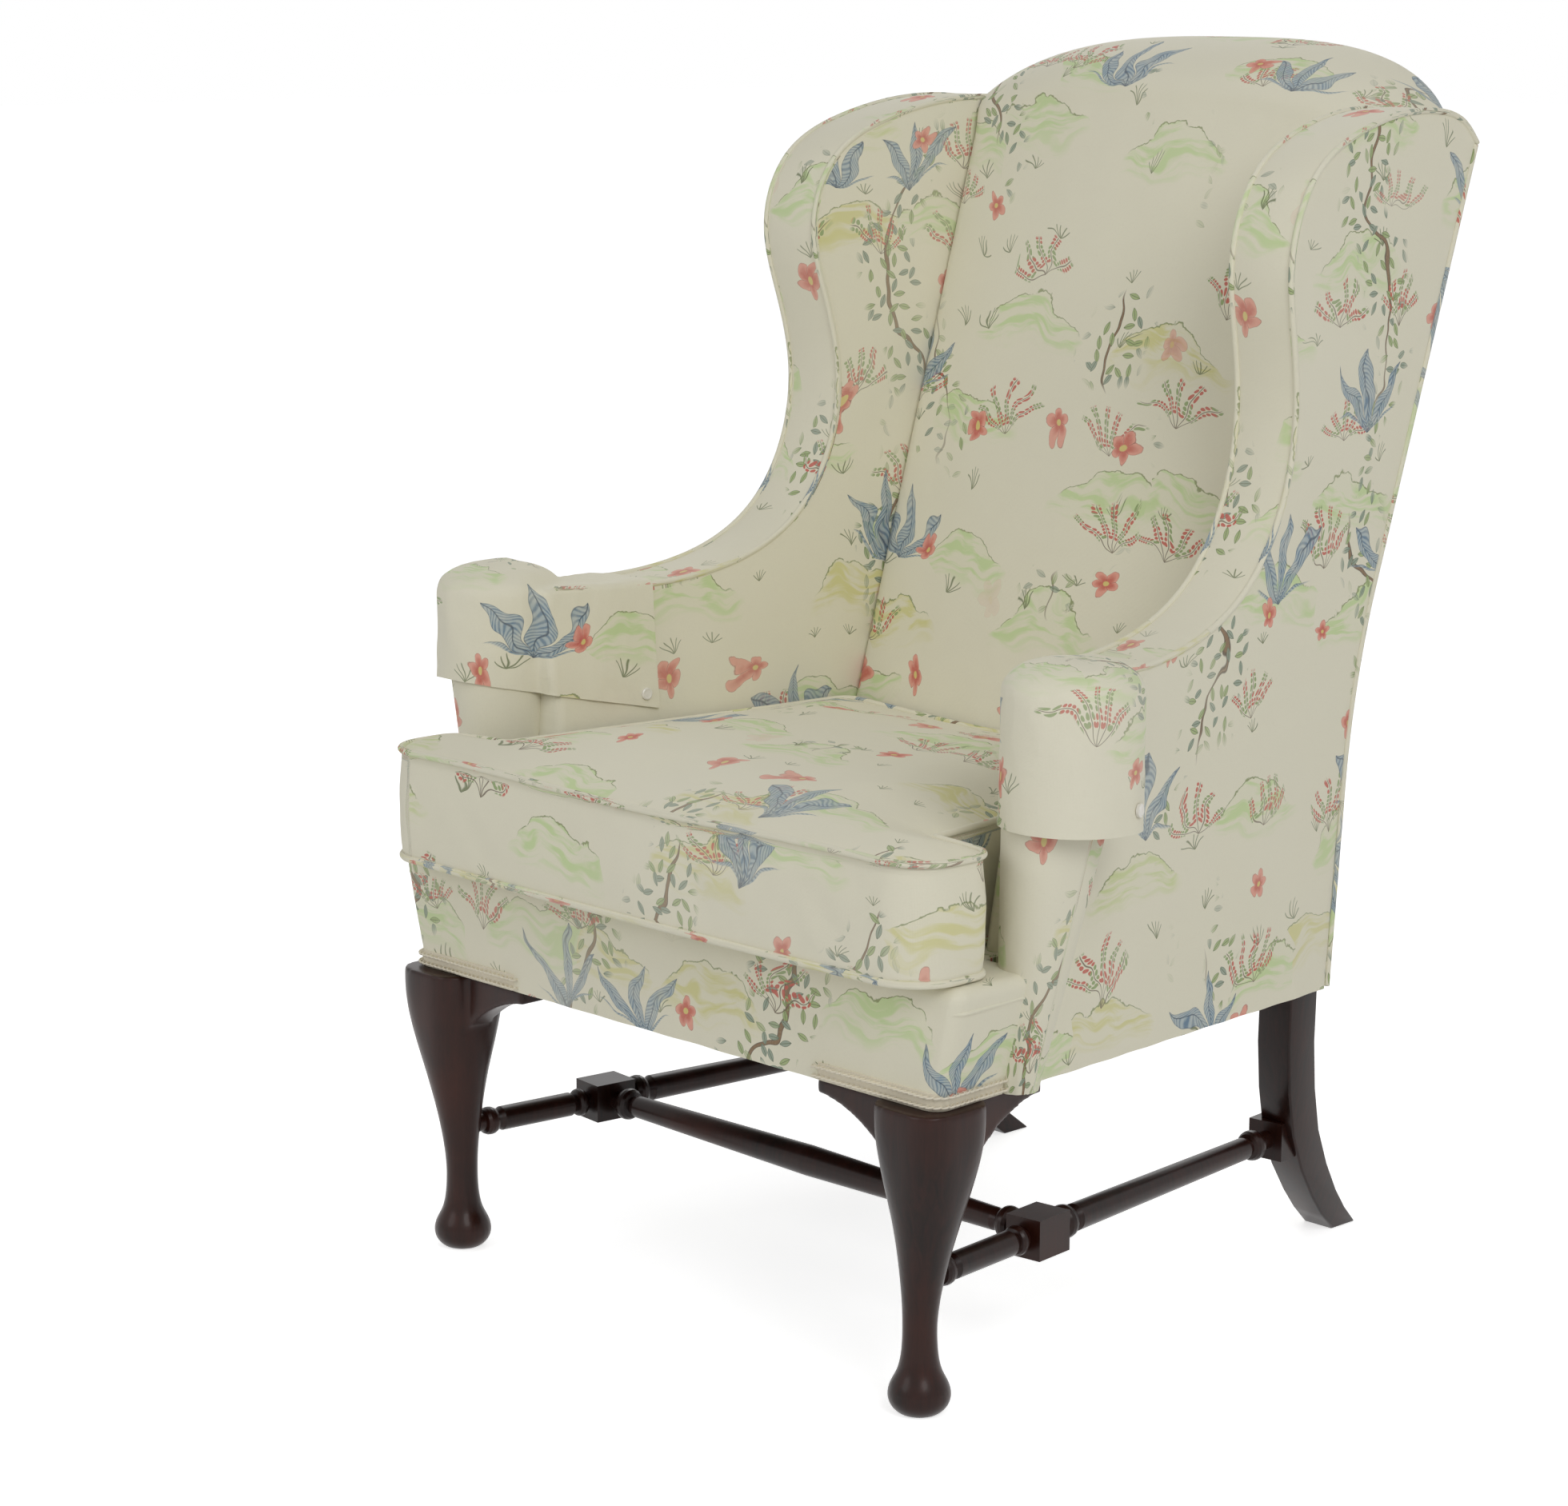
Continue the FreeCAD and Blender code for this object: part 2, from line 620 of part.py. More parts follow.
def cross_stretcher():
    """Turned stretcher between the blocks of the two side stretchers."""
    name = "cross_stretcher"
    body = doc.addObject("PartDesign::Body", name + "_turning")
    along = "(sizes.cross_depth - sizes.foot_front_depth) / (%s - sizes.foot_front_depth)" % STRETCHER_REAR_DEPTH
    half = "(sizes.foot_front_x + (%s - sizes.foot_front_x) * %s)" % (STRETCHER_REAR_X, along)
    neck, rod, swell = "sizes.neck_radius", "sizes.stretcher_radius", "sizes.bead_radius"
    ends = bead("%s - 36" % half, "8", neck, swell)
    stations = [("0 - %s" % half, neck)]
    stations += bead("36 - %s" % half, "8", neck, swell)
    stations += [("52 - %s" % half, "%s - 1" % rod), ("0", "%s + 3" % rod), ("%s - 52" % half, "%s - 1" % rod)]
    stations += ends + [(half, neck)]
    turned(body, stations)
    body.Placement = FreeCAD.Placement(Vec(0, depth_to_y(size("cross_depth")), size("stretcher_high")),
                                       FreeCAD.Rotation())
    blocks = doc.addObject("Part::Fuse", name + "_ends")
    blocks.Base = doc.getObject("side_stretcher_left")
    blocks.Tool = doc.getObject("side_stretcher_right")
    return cut_node(name, body, blocks)


# Seat frame

def plain_board(name, corner, sides):
    """A straight board: its corner and its three sides are formulas."""
    board = doc.addObject("Part::Box", name)
    board.Label = name
    for axis, formula in zip("xyz", corner):
        board.setExpression("Placement.Base.%s" % axis, formula)
    for side_name, formula in zip(("Length", "Width", "Height"), sides):
        board.setExpression(side_name, formula)
    parts.append(board)
    return board


def side_rail(side):
    """Seat rail from the front post to the rear leg, housed round the foot of the arm cone."""
    post_rear = depth_to_y(size("border_pad") + size("post_side"))
    board = side_slab(cloth, board_in).common(block((0, far), (post_rear, far), (rail_bottom, rail_top)))
    board = board.common(rear_layer(cloth + size("stile_deep") - 4, 2 * far, rail_bottom, size("crest_top"), far))
    board = mirrored(board, side)
    for name in ("rear_leg_%s" % side, "arm_front_roll_%s_form" % side):
        board = board.cut(shape_of(name))
    return feature("side_rail_%s" % side, largest(board))


def corner_blocks():
    """Glued blocks inside the four corners of the seat frame."""
    post_in = size("seat_half_front") - size("border_pad") - size("post_side")
    post_rear = depth_to_y(size("border_pad") + size("post_side"))
    rail_rear = depth_to_y(size("border_pad") + size("rail_thick"))
    back = depth_to_y(size("rear_depth_low") - cloth - size("stile_deep"))
    reach = 55
    front = [Vec(post_in, rail_rear, 0), Vec(post_in - reach, rail_rear, 0),
             Vec(post_in + reach, post_rear + reach, 0), Vec(post_in + reach, post_rear, 0),
             Vec(post_in, post_rear, 0)]
    rear = [Vec(size("stile_inner") - reach, back, 0), Vec(size("stile_inner") + reach, back, 0),
            Vec(size("stile_inner") + reach, back - 1.6 * reach, 0)]
    solids = []
    for corners in (front, rear):
        prism = Part.Face(polygon(corners)).extrude(Vec(0, 0, size("rail_tall") - 16))
        prism.translate(Vec(0, 0, rail_bottom + 8))
        for side in ("left", "right"):
            fitted = mirrored(prism, side).cut(shape_of("side_rail_%s" % side))
            fitted = fitted.cut(shape_of("rear_leg_%s" % side))
            solids.append(min(fitted.Solids, key=lambda solid: abs(solid.CenterOfMass.x)))
    return feature("corner_blocks", Part.makeCompound(solids))


def seat_inside(z, inset):
    """Level outline of the seat between the outer faces of the side rails, drawn in by an inset."""
    front, back = size("border_pad") + 6, size("rear_depth_low") - cloth - 8
    corners = [Vec(outer_x(front, z) - inset, depth_to_y(front), z),
               Vec(outer_x(back, z) - inset, depth_to_y(back), z)]
    return polygon(corners + [Vec(-corner.x, corner.y, z) for corner in corners[::-1]])


def seat_webbing():
    """Five straps each way, tacked to the tops of the rails, the second layer over the first."""
    wide, thick = size("strap_wide"), size("strap_thick")
    front, back = size("border_pad") + size("post_side") + 14, size("rear_depth_low") - 96
    straps = []
    for index in range(5):
        depth = front + (back - front) * index / 4
        half = outer_x(depth + wide, seat_bottom) - cloth - 8
        straps.append(block((-half, half), (depth_to_y(depth), depth_to_y(depth) + wide),
                            (rail_top, rail_top + thick)))
    across = 2 * (size("stile_inner") - 46)
    for index in range(5):
        x = -across / 2 + across * index / 4
        straps.append(block((x - wide / 2, x + wide / 2),
                            (depth_to_y(size("border_pad") + 8), depth_to_y(size("rear_depth_low") - cloth - 28)),
                            (rail_top + thick, rail_top + 2 * thick)))
    for roll in rolls:
        straps = [largest(strap.cut(shape_of(roll))) for strap in straps]
    return feature("seat_webbing", Part.makeCompound(straps))


def sheet_over_seat(name, low, high, inset, cutters):
    outline = seat_inside(low, inset)
    solid = Part.Face(outline).extrude(Vec(0, 0, high - low))
    for cutter in cutters:
        solid = solid.cut(shape_of(cutter))
    return feature(name, largest(solid))


def border_block(grow, low, high, rounded_top):
    """Upholstered front of the seat as a solid, before its frame is taken out of it."""
    rear = size("roll_low_depth") - 6
    lean = (size("seat_half_front") - outer_x(rear, seat_bottom))
    wires = []
    for z, flare in ((low, 0), (high, size("border_flare") * (high - low) / (size("deck_top") - seat_bottom))):
        half = size("seat_half_front") + grow + flare
        corners = [Vec(half, seat_front - grow, z), Vec(half - lean, depth_to_y(rear), z)]
        wires.append(polygon(corners + [Vec(-corner.x, corner.y, z) for corner in corners[::-1]]))
    solid = Part.makeLoft(wires, True, True)
    upright = [edge for edge in solid.Edges
               if abs(edge.Vertexes[0].Z - edge.Vertexes[-1].Z) > 1 and edge.Vertexes[0].Y < seat_front + 1]
    solid = solid.makeFillet(size("border_round") + grow, upright)
    if rounded_top:
        top = [edge for edge in solid.Edges if min(v.Z for v in edge.Vertexes) > high - 0.01
               and max(v.Y for v in edge.Vertexes) < depth_to_y(rear) + 0.01
               and min(v.Y for v in edge.Vertexes) < depth_to_y(rear) - 1]
        solid = solid.makeFillet(size("border_pad"), top)
    return solid


def front_border():
    """Padding over the front rail and its two corners, back to the arm fronts."""
    solid = border_block(0, seat_bottom, size("deck_top"), True)
    inner_half = size("seat_half_front") - size("border_pad")
    webbing_top = rail_top + 2 * size("strap_thick") + 1.5
    solid = solid.cut(block((-inner_half, inner_half), (depth_to_y(size("border_pad")), far),
                            (seat_bottom, webbing_top)))
    for side in ("left", "right"):
        solid = solid.cut(shape_of("arm_front_roll_%s_form" % side)).cut(shape_of("side_rail_%s" % side))
    return feature("front_border", largest(solid))


def gimp(side):
    """Woven braid over the lower edge above the knee, round the corner of the seat."""
    low, high = seat_bottom, seat_bottom + size("gimp_tall")
    strip = border_block(size("gimp_thick"), low, high, False).cut(border_block(0, low, high, False))
    start = size("foot_front_x") - size("knee_bracket_long") - 28
    strip = strip.common(block((start, far), (-far - 100, 0), (low, high)))
    strip = mirrored(strip, side).cut(shape_of("arm_front_roll_%s_form" % side))
    return feature("gimp_%s" % side, largest(strip))


# Sides: boards, padding, outer panel and the band round the edge

def side_parts(side):
    """Boards and upholstery of one arm and wing, each cut clear of the roll and the rear leg."""
    roll = mirrored(shape_of("arm_front_roll_%s_form" % side), side)
    cone = mirrored(shape_of("arm_cone_%s" % side), side)
    stile = mirrored(shape_of("rear_leg_%s" % side), side)
    board_slab = side_slab(cloth, board_in)
    frame_region = side_region(band, cloth + size("stile_deep") - 4, rail_top)
    boards = board_slab.common(frame_region).cut(cone).cut(stile)
    split = depth_to_y(size("wing_waist_depth") - (size("wing_waist_high") - size("arm_top")))
    rail_low, rail_high, top_low = size("arm_rail_bottom"), size("arm_rail_top"), size("top_rail_bottom")
    level = block((0, 2 * far), (-2 * far, 2 * far), (rail_low, rail_high))
    above = block((0, 2 * far), (-2 * far, split), (rail_high, rail_high + 60))
    arm_rail = boards.common(level.fuse(above))
    rim = boards.cut(under_line(band + size("board_wide"), False))
    upright = rim.common(block((0, 2 * far), (split, 2 * far), (rail_high, top_low)))
    top_rail = rim.common(block((0, 2 * far), (split, 2 * far), (top_low, 2 * far + top_low)))
    for name, shape in (("arm_rail", arm_rail), ("wing_upright", upright), ("wing_top_rail", top_rail)):
        feature("%s_%s" % (name, side), mirrored(largest(shape), side))
    padding = roll.cut(cone).cut(largest(arm_rail))
    feature("arm_front_roll_%s" % side, mirrored(largest(padding), side))

    pad_bottom = webbing_top
    pad_region = side_region(band, cloth + size("stile_deep") + size("strap_thick"), pad_bottom, 12)
    pad = side_slab(board_in, side_thick).common(pad_region).cut(roll)
    feature("inside_arm_wing_%s" % side, mirrored(largest(pad), side))

    panel = side_slab(0, cloth).common(side_region(band, cloth, seat_bottom)).cut(roll)
    panel = panel.cut(mirrored(shape_of("front_border"), side))
    feature("outside_panel_%s" % side, mirrored(largest(panel), side))

    edge = side_slab(0, side_thick).common(side_region(0, cloth, seat_bottom, 12))
    edge = edge.cut(under_line(band, True)).cut(roll)
    feature("edge_band_%s" % side, mirrored(largest(edge), side))


# Back

def rear_layer(inset_rear, inset_front, low, high, half):
    """A layer that follows the rear edge, as wide as the chair's back, between two insets."""
    heights = (size("bend_end"), rear_middle, size("bend_start"))
    outer, inner = ([rear_point(z, inset) for z in heights] for inset in (inset_rear, inset_front))
    top_out, top_in = rear_point(high, inset_rear), rear_point(high, inset_front)
    low_out, low_in = rear_point(low, inset_rear), rear_point(low, inset_front)
    face = Part.Face(Part.Wire([line(top_out, outer[0]), arc(*outer), line(outer[2], low_out),
                                line(low_out, low_in), line(low_in, inner[2]), arc(*inner[::-1]),
                                line(inner[0], top_in), line(top_in, top_out)]))
    layer = face.extrude(Vec(2 * half, 0, 0))
    layer.translate(Vec(-half, 0, 0))
    return layer


def crest_height(x, drop=0):
    """Top line of the back seen from the front: a flat arch with round shoulders."""
    half = size("crest_half")
    share = min(1, abs(x) / half)
    return size("crest_top") - size("crest_rise") * (1 - math.sqrt(1 - share ** 3)) - drop


def crest_region(half, low, drop):
    """Prism from front to back under the crest line, which is lowered by a drop."""
    steps = 12
    across = [half * math.sin(math.pi / 2 * (step / steps * 2 - 1)) for step in range(steps + 1)]
    curve = Part.BSplineCurve()
    curve.interpolate([Vec(x, -far, crest_height(x, drop)) for x in across])
    start, end = curve.StartPoint, curve.EndPoint
    left, right = Vec(-half, -far, low), Vec(half, -far, low)
    face = Part.Face(Part.Wire([curve.toShape(), line(end, right), line(right, left), line(left, start)]))
    return face.extrude(Vec(0, 3 * far, 0))


def back_front_depth(z):
    return size("back_front_low") + size("back_slope") * (z - size("cushion_edge"))


def back_section(x):
    """Upright section through the padded back, from the deck up and over the crest."""
    crown = size("back_crown") * max(0, 1 - (x / size("back_half")) ** 2)
    top = crest_height(x)
    turn = min(60, top - 1040)
    low = webbing_top
    front_low = Vec(x, depth_to_y(back_front_depth(low) - crown), low)
    front_high = Vec(x, depth_to_y(back_front_depth(top - turn) - crown), top - turn)
    rear_high = Vec(x, depth_to_y(rear_depth(top - turn) - 1), top - turn)
    middle = Vec(x, (front_high.y + rear_high.y) / 2 + 8, top)
    rear_low = Vec(x, depth_to_y(rear_depth(low)), low)
    return Part.Wire([line(front_low, front_high), arc(front_high, middle, rear_high),
                      line(rear_high, rear_low), line(rear_low, front_low)])


def back_parts():
    """Rails, webbing, padding and outer cover of the back."""
    inset = cloth + size("stile_deep")
    under_wings = size("rear_high") - 2 * band
    wide, narrow = size("stile_inner"), size("rear_half") - size("side_thick") - 1
    between = block((-wide, wide), (-2 * far, 2 * far), (size("crest_rail_bottom"), under_wings))
    between = between.fuse(block((-narrow, narrow), (-2 * far, 2 * far), (under_wings, size("crest_top"))))
    rail = rear_layer(cloth, inset, rail_bottom, size("crest_top"), far)
    arch = crest_region(size("crest_half") - 8, rail_bottom, size("crest_pad"))
    crest_rail = rail.common(arch).common(between)
    feature("crest_rail", largest(crest_rail))
    stay_low = size("stay_rail_bottom")
    stay = block((-size("stile_inner"), size("stile_inner")), (-2 * far, 2 * far),
                 (stay_low, stay_low + size("stay_rail_tall")))
    feature("stay_rail", largest(rail.common(stay)))

    thick, wide = size("strap_thick"), size("strap_wide")
    layer = rear_layer(inset, inset + thick, stay_low - 10, size("crest_rail_bottom") + 60, far)
    straps = []
    for index in range(4):
        x = (index - 1.5) * 2.4 * wide
        straps.append(layer.common(block((x - wide / 2, x + wide / 2), (-2 * far, 2 * far), (0, 2000))))
    feature("back_webbing", Part.makeCompound([largest(strap) for strap in straps]))

    outer = rear_layer(0, cloth, seat_bottom, size("crest_top"), size("rear_half"))
    low_part = outer.common(block((-far, far), (-2 * far, 2 * far), (0, size("rear_high"))))
    arch = outer.common(crest_region(size("crest_half") - 6, seat_bottom, size("crest_pad") + 10))
    outside = low_part.fuse(arch).removeSplitter()
    for side in ("left", "right"):
        outside = outside.cut(shape_of("rear_leg_%s" % side))
    feature("outside_back", largest(outside))

    body = Part.makeLoft([back_section(x) for x in back_stations()], True, True)
    core = rear_layer(-200, inset + thick, 200, 1400, far).common(
        crest_region(size("crest_half") - 6, 200, size("crest_pad")))
    pad = body.cut(core).cut(outside)
    wing_space = side_slab(-60, side_thick).common(
        block((0, 2 * far), (-2 * far, 2 * far), (0, size("wing_top") + 1.5)))
    for side in ("left", "right"):
        pad = pad.cut(mirrored(wing_space, side))
    feature("inside_back", largest(pad))


def back_stations():
    """Where the back is sectioned: closer together at the round shoulders."""
    half, steps = size("crest_half") - 4, 14
    return [half * math.sin(math.pi / 2 * (2 * step / steps - 1)) for step in range(steps + 1)]


def seat_deck():
    """Padding on the seat's canvas, between the front border, the arms and the back."""
    deck = Part.Face(seat_inside(webbing_top, 0)).extrude(Vec(0, 0, size("deck_top") - webbing_top))
    for name in ("front_border", "arm_front_roll_left_form", "arm_front_roll_right_form", "inside_back"):
        deck = deck.cut(shape_of(name))
    arm_space = side_slab(-60, side_thick).cut(ahead_of_roll(12))
    for side in ("left", "right"):
        deck = deck.cut(mirrored(arm_space, side))
    return feature("seat_deck", largest(deck))


# Loose cushion

def cushion_outline(z, grow):
    """T outline of the cushion at a height, moved outward by a distance, with round corners."""
    front = depth_to_y(-size("cushion_front")) - grow
    ear_rear = depth_to_y(size("cushion_ear_deep") - size("cushion_front")) + grow
    rear = depth_to_y(back_front_depth(z) - size("back_gap"))
    crown, wide = size("back_crown"), size("back_half")
    ear, neck_front, neck_rear = (size("cushion_%s" % name) + grow
                                  for name in ("ear_half", "neck_front", "neck_rear"))
    round_by = size("cushion_corner")
    small = round_by / 2
    half_turn = round_by * (1 - math.sqrt(0.5))
    end = neck_rear - small
    rear_end = rear - crown * (1 - (end / wide) ** 2)
    corner = (neck_front - neck_rear) / (rear_end - ear_rear) * small
    right = [
        arc(Vec(0, front - 6, z), Vec((ear - round_by) / 2, front - 4.5, z), Vec(ear - round_by, front, z)),
        arc(Vec(ear - round_by, front, z), Vec(ear - half_turn, front + half_turn, z),
            Vec(ear, front + round_by, z)),
        line(Vec(ear, front + round_by, z), Vec(ear, ear_rear - small, z)),
        arc(Vec(ear, ear_rear - small, z), Vec(ear - half_turn / 2, ear_rear - half_turn / 2, z),
            Vec(ear - small, ear_rear, z)),
        line(Vec(ear - small, ear_rear, z), Vec(neck_front, ear_rear, z)),
        line(Vec(neck_front, ear_rear, z), Vec(neck_rear + corner, rear_end - small, z)),
        arc(Vec(neck_rear + corner, rear_end - small, z),
            Vec(neck_rear - half_turn / 2, rear_end - half_turn / 2, z), Vec(end, rear_end, z)),
        bow(Vec(end, rear_end, z), Vec(end / 2, rear - crown * (1 - (end / wide) ** 2 / 4), z),
            Vec(0, rear - crown, z)),
    ]
    left = [edge.mirror(Vec(0, 0, 0), Vec(1, 0, 0)) for edge in right]
    return Part.Wire(Part.__sortEdges__(right + left))


def seat_cushion():
    """Crowned T cushion whose sides swell between its two welted edges."""
    low = size("deck_top") + size("soft_gap")
    top, bulge = size("cushion_edge"), size("cushion_bulge")
    middle = (low + top) / 2
    peak = top + size("cushion_crown")
    levels = [(low, -bulge), (middle, bulge), (top, -bulge / 2), (peak + 10, -bulge / 2)]
    solid = Part.makeLoft([cushion_outline(z, grow) for z, grow in levels[:3]], True, True)
    cap = Part.makeLoft([cushion_outline(z, grow) for z, grow in levels[2:]], True, True)
    solid = solid.fuse(cap)
    reach = size("cushion_ear_half") + size("cushion_ear_deep")
    radius = (reach ** 2 + size("cushion_crown") ** 2) / (2 * size("cushion_crown"))
    centre = depth_to_y((back_front_depth(top) - size("back_crown") - size("cushion_front")) / 2)
    crown = Part.makeSphere(radius, Vec(0, centre, peak - radius))
    return feature("seat_cushion", largest(solid.common(crown)))


# Slip-on arm covers

def roll_envelope(grow, low):
    """Upright skin round the top of the right roll, open for the cover to lift straight up."""
    radius = size("roll_high_radius") + grow
    shoulder, dome = size("roll_shoulder"), size("roll_dome")
    levels = [(low, 1), (shoulder, 1), (shoulder + 0.42 * dome + grow, 0.93),
              (shoulder + 0.76 * dome + grow, 0.72), (shoulder + 0.95 * dome + grow, 0.38),
              (shoulder + dome + grow, 0.08)]
    spot = roll_spot(shoulder)
    wires = [Part.Wire(Part.Circle(Vec(spot.x, spot.y, z), Vec(0, 0, 1), radius * share).toShape())
             for z, share in levels]
    return Part.makeLoft(wires, True, True)


def arm_cover(side):
    """Fabric cap over the arm front, with a flap down the inside of the arm."""
    gap, thick = size("arm_cover_gap"), size("arm_cover_thick")
    hem = min(size("arm_cover_hem"), size("arm_cover_hem_rear")) - 20
    rear = depth_to_y(size("arm_cover_rear"))
    span = block((0, 2 * far), (-2 * far, rear), (hem, 2 * far + hem))
    outside = side_slab(0, side_thick + gap + thick).common(
        side_region(-gap - thick, 0, seat_bottom, 12 - gap - thick))
    inside = side_slab(-size("arm_cover_free"), side_thick + gap).common(
        side_region(-gap, 0, seat_bottom, 12 - gap))
    shell = outside.common(span).fuse(roll_envelope(gap + thick, hem))
    shell = shell.cut(inside).cut(roll_envelope(gap, hem - 5))
    far_front, far_rear = seat_front, rear + 10
    hem_face = Part.Face(polygon([Vec(0, far_front - 100, 0), Vec(0, far_front - 100, size("arm_cover_hem")),
                                  Vec(0, far_front + 40, size("arm_cover_hem")),
                                  Vec(0, far_rear, size("arm_cover_hem_rear")), Vec(0, far_rear, 0)]))
    shell = shell.cut(hem_face.extrude(Vec(2 * far, 0, 0)))
    return feature("arm_cover_%s" % side, mirrored(largest(shell), side))


def cover_button(name, side, depth, high, from_outside):
    """Flat shirt button on a lower corner of an arm cover, on the face that a level needle meets first."""
    body = new_body("%s_%s" % (name, side))
    radius, thick = "sizes.button_radius", "sizes.button_thick"
    turned(body, [("0", radius), ("%s * 0.8" % thick, radius), (thick, "%s * 0.8" % radius),
                  ("%s * 0.9" % thick, "%s * 0.6" % radius)])
    cover = mirrored(shape_of("arm_cover_%s" % side), side)
    spots = []
    for back, up in ((0, 0), (5, 0), (-5, 0), (0, 5), (0, -5)):
        level = (depth_to_y(depth + back), high + up)
        needle = line(Vec(0, *level), Vec(2 * far, *level))
        met = [vertex.Point for vertex in needle.common(cover).Vertexes]
        spots.append(max(met, key=lambda spot: spot.x if from_outside else -spot.x))
    outward = (spots[1] - spots[2]).cross(spots[3] - spots[4])
    if (outward.x > 0) != from_outside:
        outward = outward * -1
    flip = sign_of(side)
    turn = FreeCAD.Rotation(Vec(1, 0, 0), Vec(flip * outward.x, outward.y, outward.z))
    body.Placement = FreeCAD.Placement(Vec(flip * spots[0].x, spots[0].y, spots[0].z), turn)
    return body


# The whole chair

webbing_top = rail_top + 2 * size("strap_thick") + 1.5
rolls = ["arm_front_roll_left_form", "arm_front_roll_right_form"]

for side in ("left", "right"):
    front_leg(side)
    rear_leg(side)
    roll_form = arm_roll("arm_front_roll_%s_form" % side, side, "0", True)
    parts.remove(roll_form)
    arm_roll("arm_cone_%s" % side, side, "sizes.roll_pad", False)
    side_stretcher(side)
cross_stretcher()
plain_board("front_rail",
            ("0 - sizes.seat_half_front + sizes.border_pad + sizes.post_side",
             "sizes.seat_front + sizes.border_pad", "sizes.seat_bottom + sizes.rail_lift"),
            ("2 * (sizes.seat_half_front - sizes.border_pad - sizes.post_side)", "sizes.rail_thick",
             "sizes.rail_tall"))
plain_board("back_rail",
            ("0 - sizes.stile_inner",
             "sizes.seat_front + sizes.rear_depth_low - sizes.cover_cloth - sizes.stile_deep",
             "sizes.seat_bottom + sizes.rail_lift"),
            ("2 * sizes.stile_inner", "sizes.rail_thick", "sizes.rail_tall"))
doc.recompute()

for side in ("left", "right"):
    side_rail(side)
    for place in ("front", "side"):
        knee_bracket(side, place)
corner_blocks()
seat_webbing()
rear_legs = ["rear_leg_left", "rear_leg_right"]
sheet_over_seat("dust_cover", rail_bottom - 1.5, rail_bottom, 12,
                rolls + rear_legs + ["front_leg_left", "front_leg_right"])
front_border()
sheet_over_seat("seat_canvas", rail_top + 2 * size("strap_thick"), webbing_top, 12,
                rolls + rear_legs + ["front_border"])
for side in ("left", "right"):
    gimp(side)
    side_parts(side)
back_parts()
seat_deck()
seat_cushion()
for side in ("left", "right"):
    arm_cover(side)
    inset = 2.5 * size("button_radius")
    cover_button("cover_button", side, size("arm_cover_rear") - inset,
                 size("arm_cover_hem_rear") + 3 * size("button_radius"), False)
    cover_button("cover_button_outer", side, size("roll_high_depth") + 3 * size("button_radius"),
                 size("arm_cover_hem") + 1.5 * size("button_radius"), True)
doc.recompute()

failed = [obj.Name for obj in doc.Objects if "Invalid" in obj.State or "Error" in obj.State]
for part in parts:
    if part.Shape.isNull() or not part.Shape.isValid() or not part.Shape.Solids:
        failed.append(part.Label)
if failed:
    raise RuntimeError("These objects failed: " + ", ".join(failed))
os.makedirs("parts", exist_ok=True)
for part in parts:
    part.Shape.exportStep("parts/%s.step" % part.Label)
print(len(parts), "parts written")
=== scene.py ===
"""Wing armchair with a loose T cushion and slip-on arm covers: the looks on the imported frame."""
import math

import bmesh
import bpy
import numpy as np
from mathutils import Matrix, Vector


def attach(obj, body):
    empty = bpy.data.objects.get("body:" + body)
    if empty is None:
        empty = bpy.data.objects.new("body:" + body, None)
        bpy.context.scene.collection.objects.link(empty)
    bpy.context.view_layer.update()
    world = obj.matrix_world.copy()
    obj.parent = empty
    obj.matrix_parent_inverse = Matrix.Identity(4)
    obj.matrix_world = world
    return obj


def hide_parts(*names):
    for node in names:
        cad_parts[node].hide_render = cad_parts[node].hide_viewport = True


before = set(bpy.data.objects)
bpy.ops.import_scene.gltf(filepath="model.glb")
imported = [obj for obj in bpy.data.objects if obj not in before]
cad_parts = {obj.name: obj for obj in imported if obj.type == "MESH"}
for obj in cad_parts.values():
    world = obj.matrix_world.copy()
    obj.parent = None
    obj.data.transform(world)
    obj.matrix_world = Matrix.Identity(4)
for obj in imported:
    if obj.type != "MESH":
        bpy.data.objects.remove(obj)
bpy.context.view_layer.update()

# Sizes of the chair in millimetres, as in the model; a depth is a distance behind the seat's front
SEAT_FRONT = -375.4
SEAT_BOTTOM = 284
BORDER_HALF, BORDER_FLARE, BORDER_TALL, BORDER_RADIUS, BORDER_END = 353, 30, 112, 14, 99
SIDE_THICK, SIDE_NOSE, SIDE_TOP = 71, 76, 1196
SIDE_REAR_HALF, SEAT_TAPER, ARM_FLARE, FLARE_REACH = 314, 0.0709, 55, 602
ARM_TOP = 645
ROLL_SHOULDER, ROLL_CAP = 640, 25
CREST_TOP, CREST_HALF, CREST_RISE = 1180, 292, 104
CUSHION_LOW, CUSHION_EDGE = 396.4, 505
WELT_RADIUS = 3.0

# (x, depth, radius) of the rolled arm front at the seat's bottom and at its shoulder
ROLL_FOOT, ROLL_HEAD = (350, 106, 19), (385, 132, 60)
ROLL_X, ROLL_DEPTH = ROLL_HEAD[:2]

# (depth, z) of the wing's front where the arm sweeps into it, of its foremost, highest and rear points
WING_FOOT, WING_NOSE, WING_PEAK, WING_REAR = (484, 838), (459, 990), (700, 1116), (772, 1084)

# The rear edge of a side: its depth at the seat's bottom, its rake below and above, and the bend between
REAR_FOOT, LOW_RAKE, HIGH_RAKE, REAR_BEND = 582, 0.075, 0.33, (480, 680)

# The form that the arm covers are draped on: its foot, its radius, and how far it stands off the padding
COVER_FOOT, COVER_RADIUS, COVER_GAP = 470, 62.0, 2.6

# Height of each cover's hem at the roll's middle and at the flap's rear edge
HEMS = {"right": (522, 520), "left": (543, 519)}

# Sizes that Blender's own tools take, in metres
COVER_CLOTH, COVER_VOXEL = 0.0016, 0.0032
LEG_EASE, LEG_VOXEL = 0.0022, 0.0022
LOOP_SPACING, LOOP_RADIUS, THREAD_RADIUS = 0.0062, 0.0037, 0.0012


# Small tools for meshes

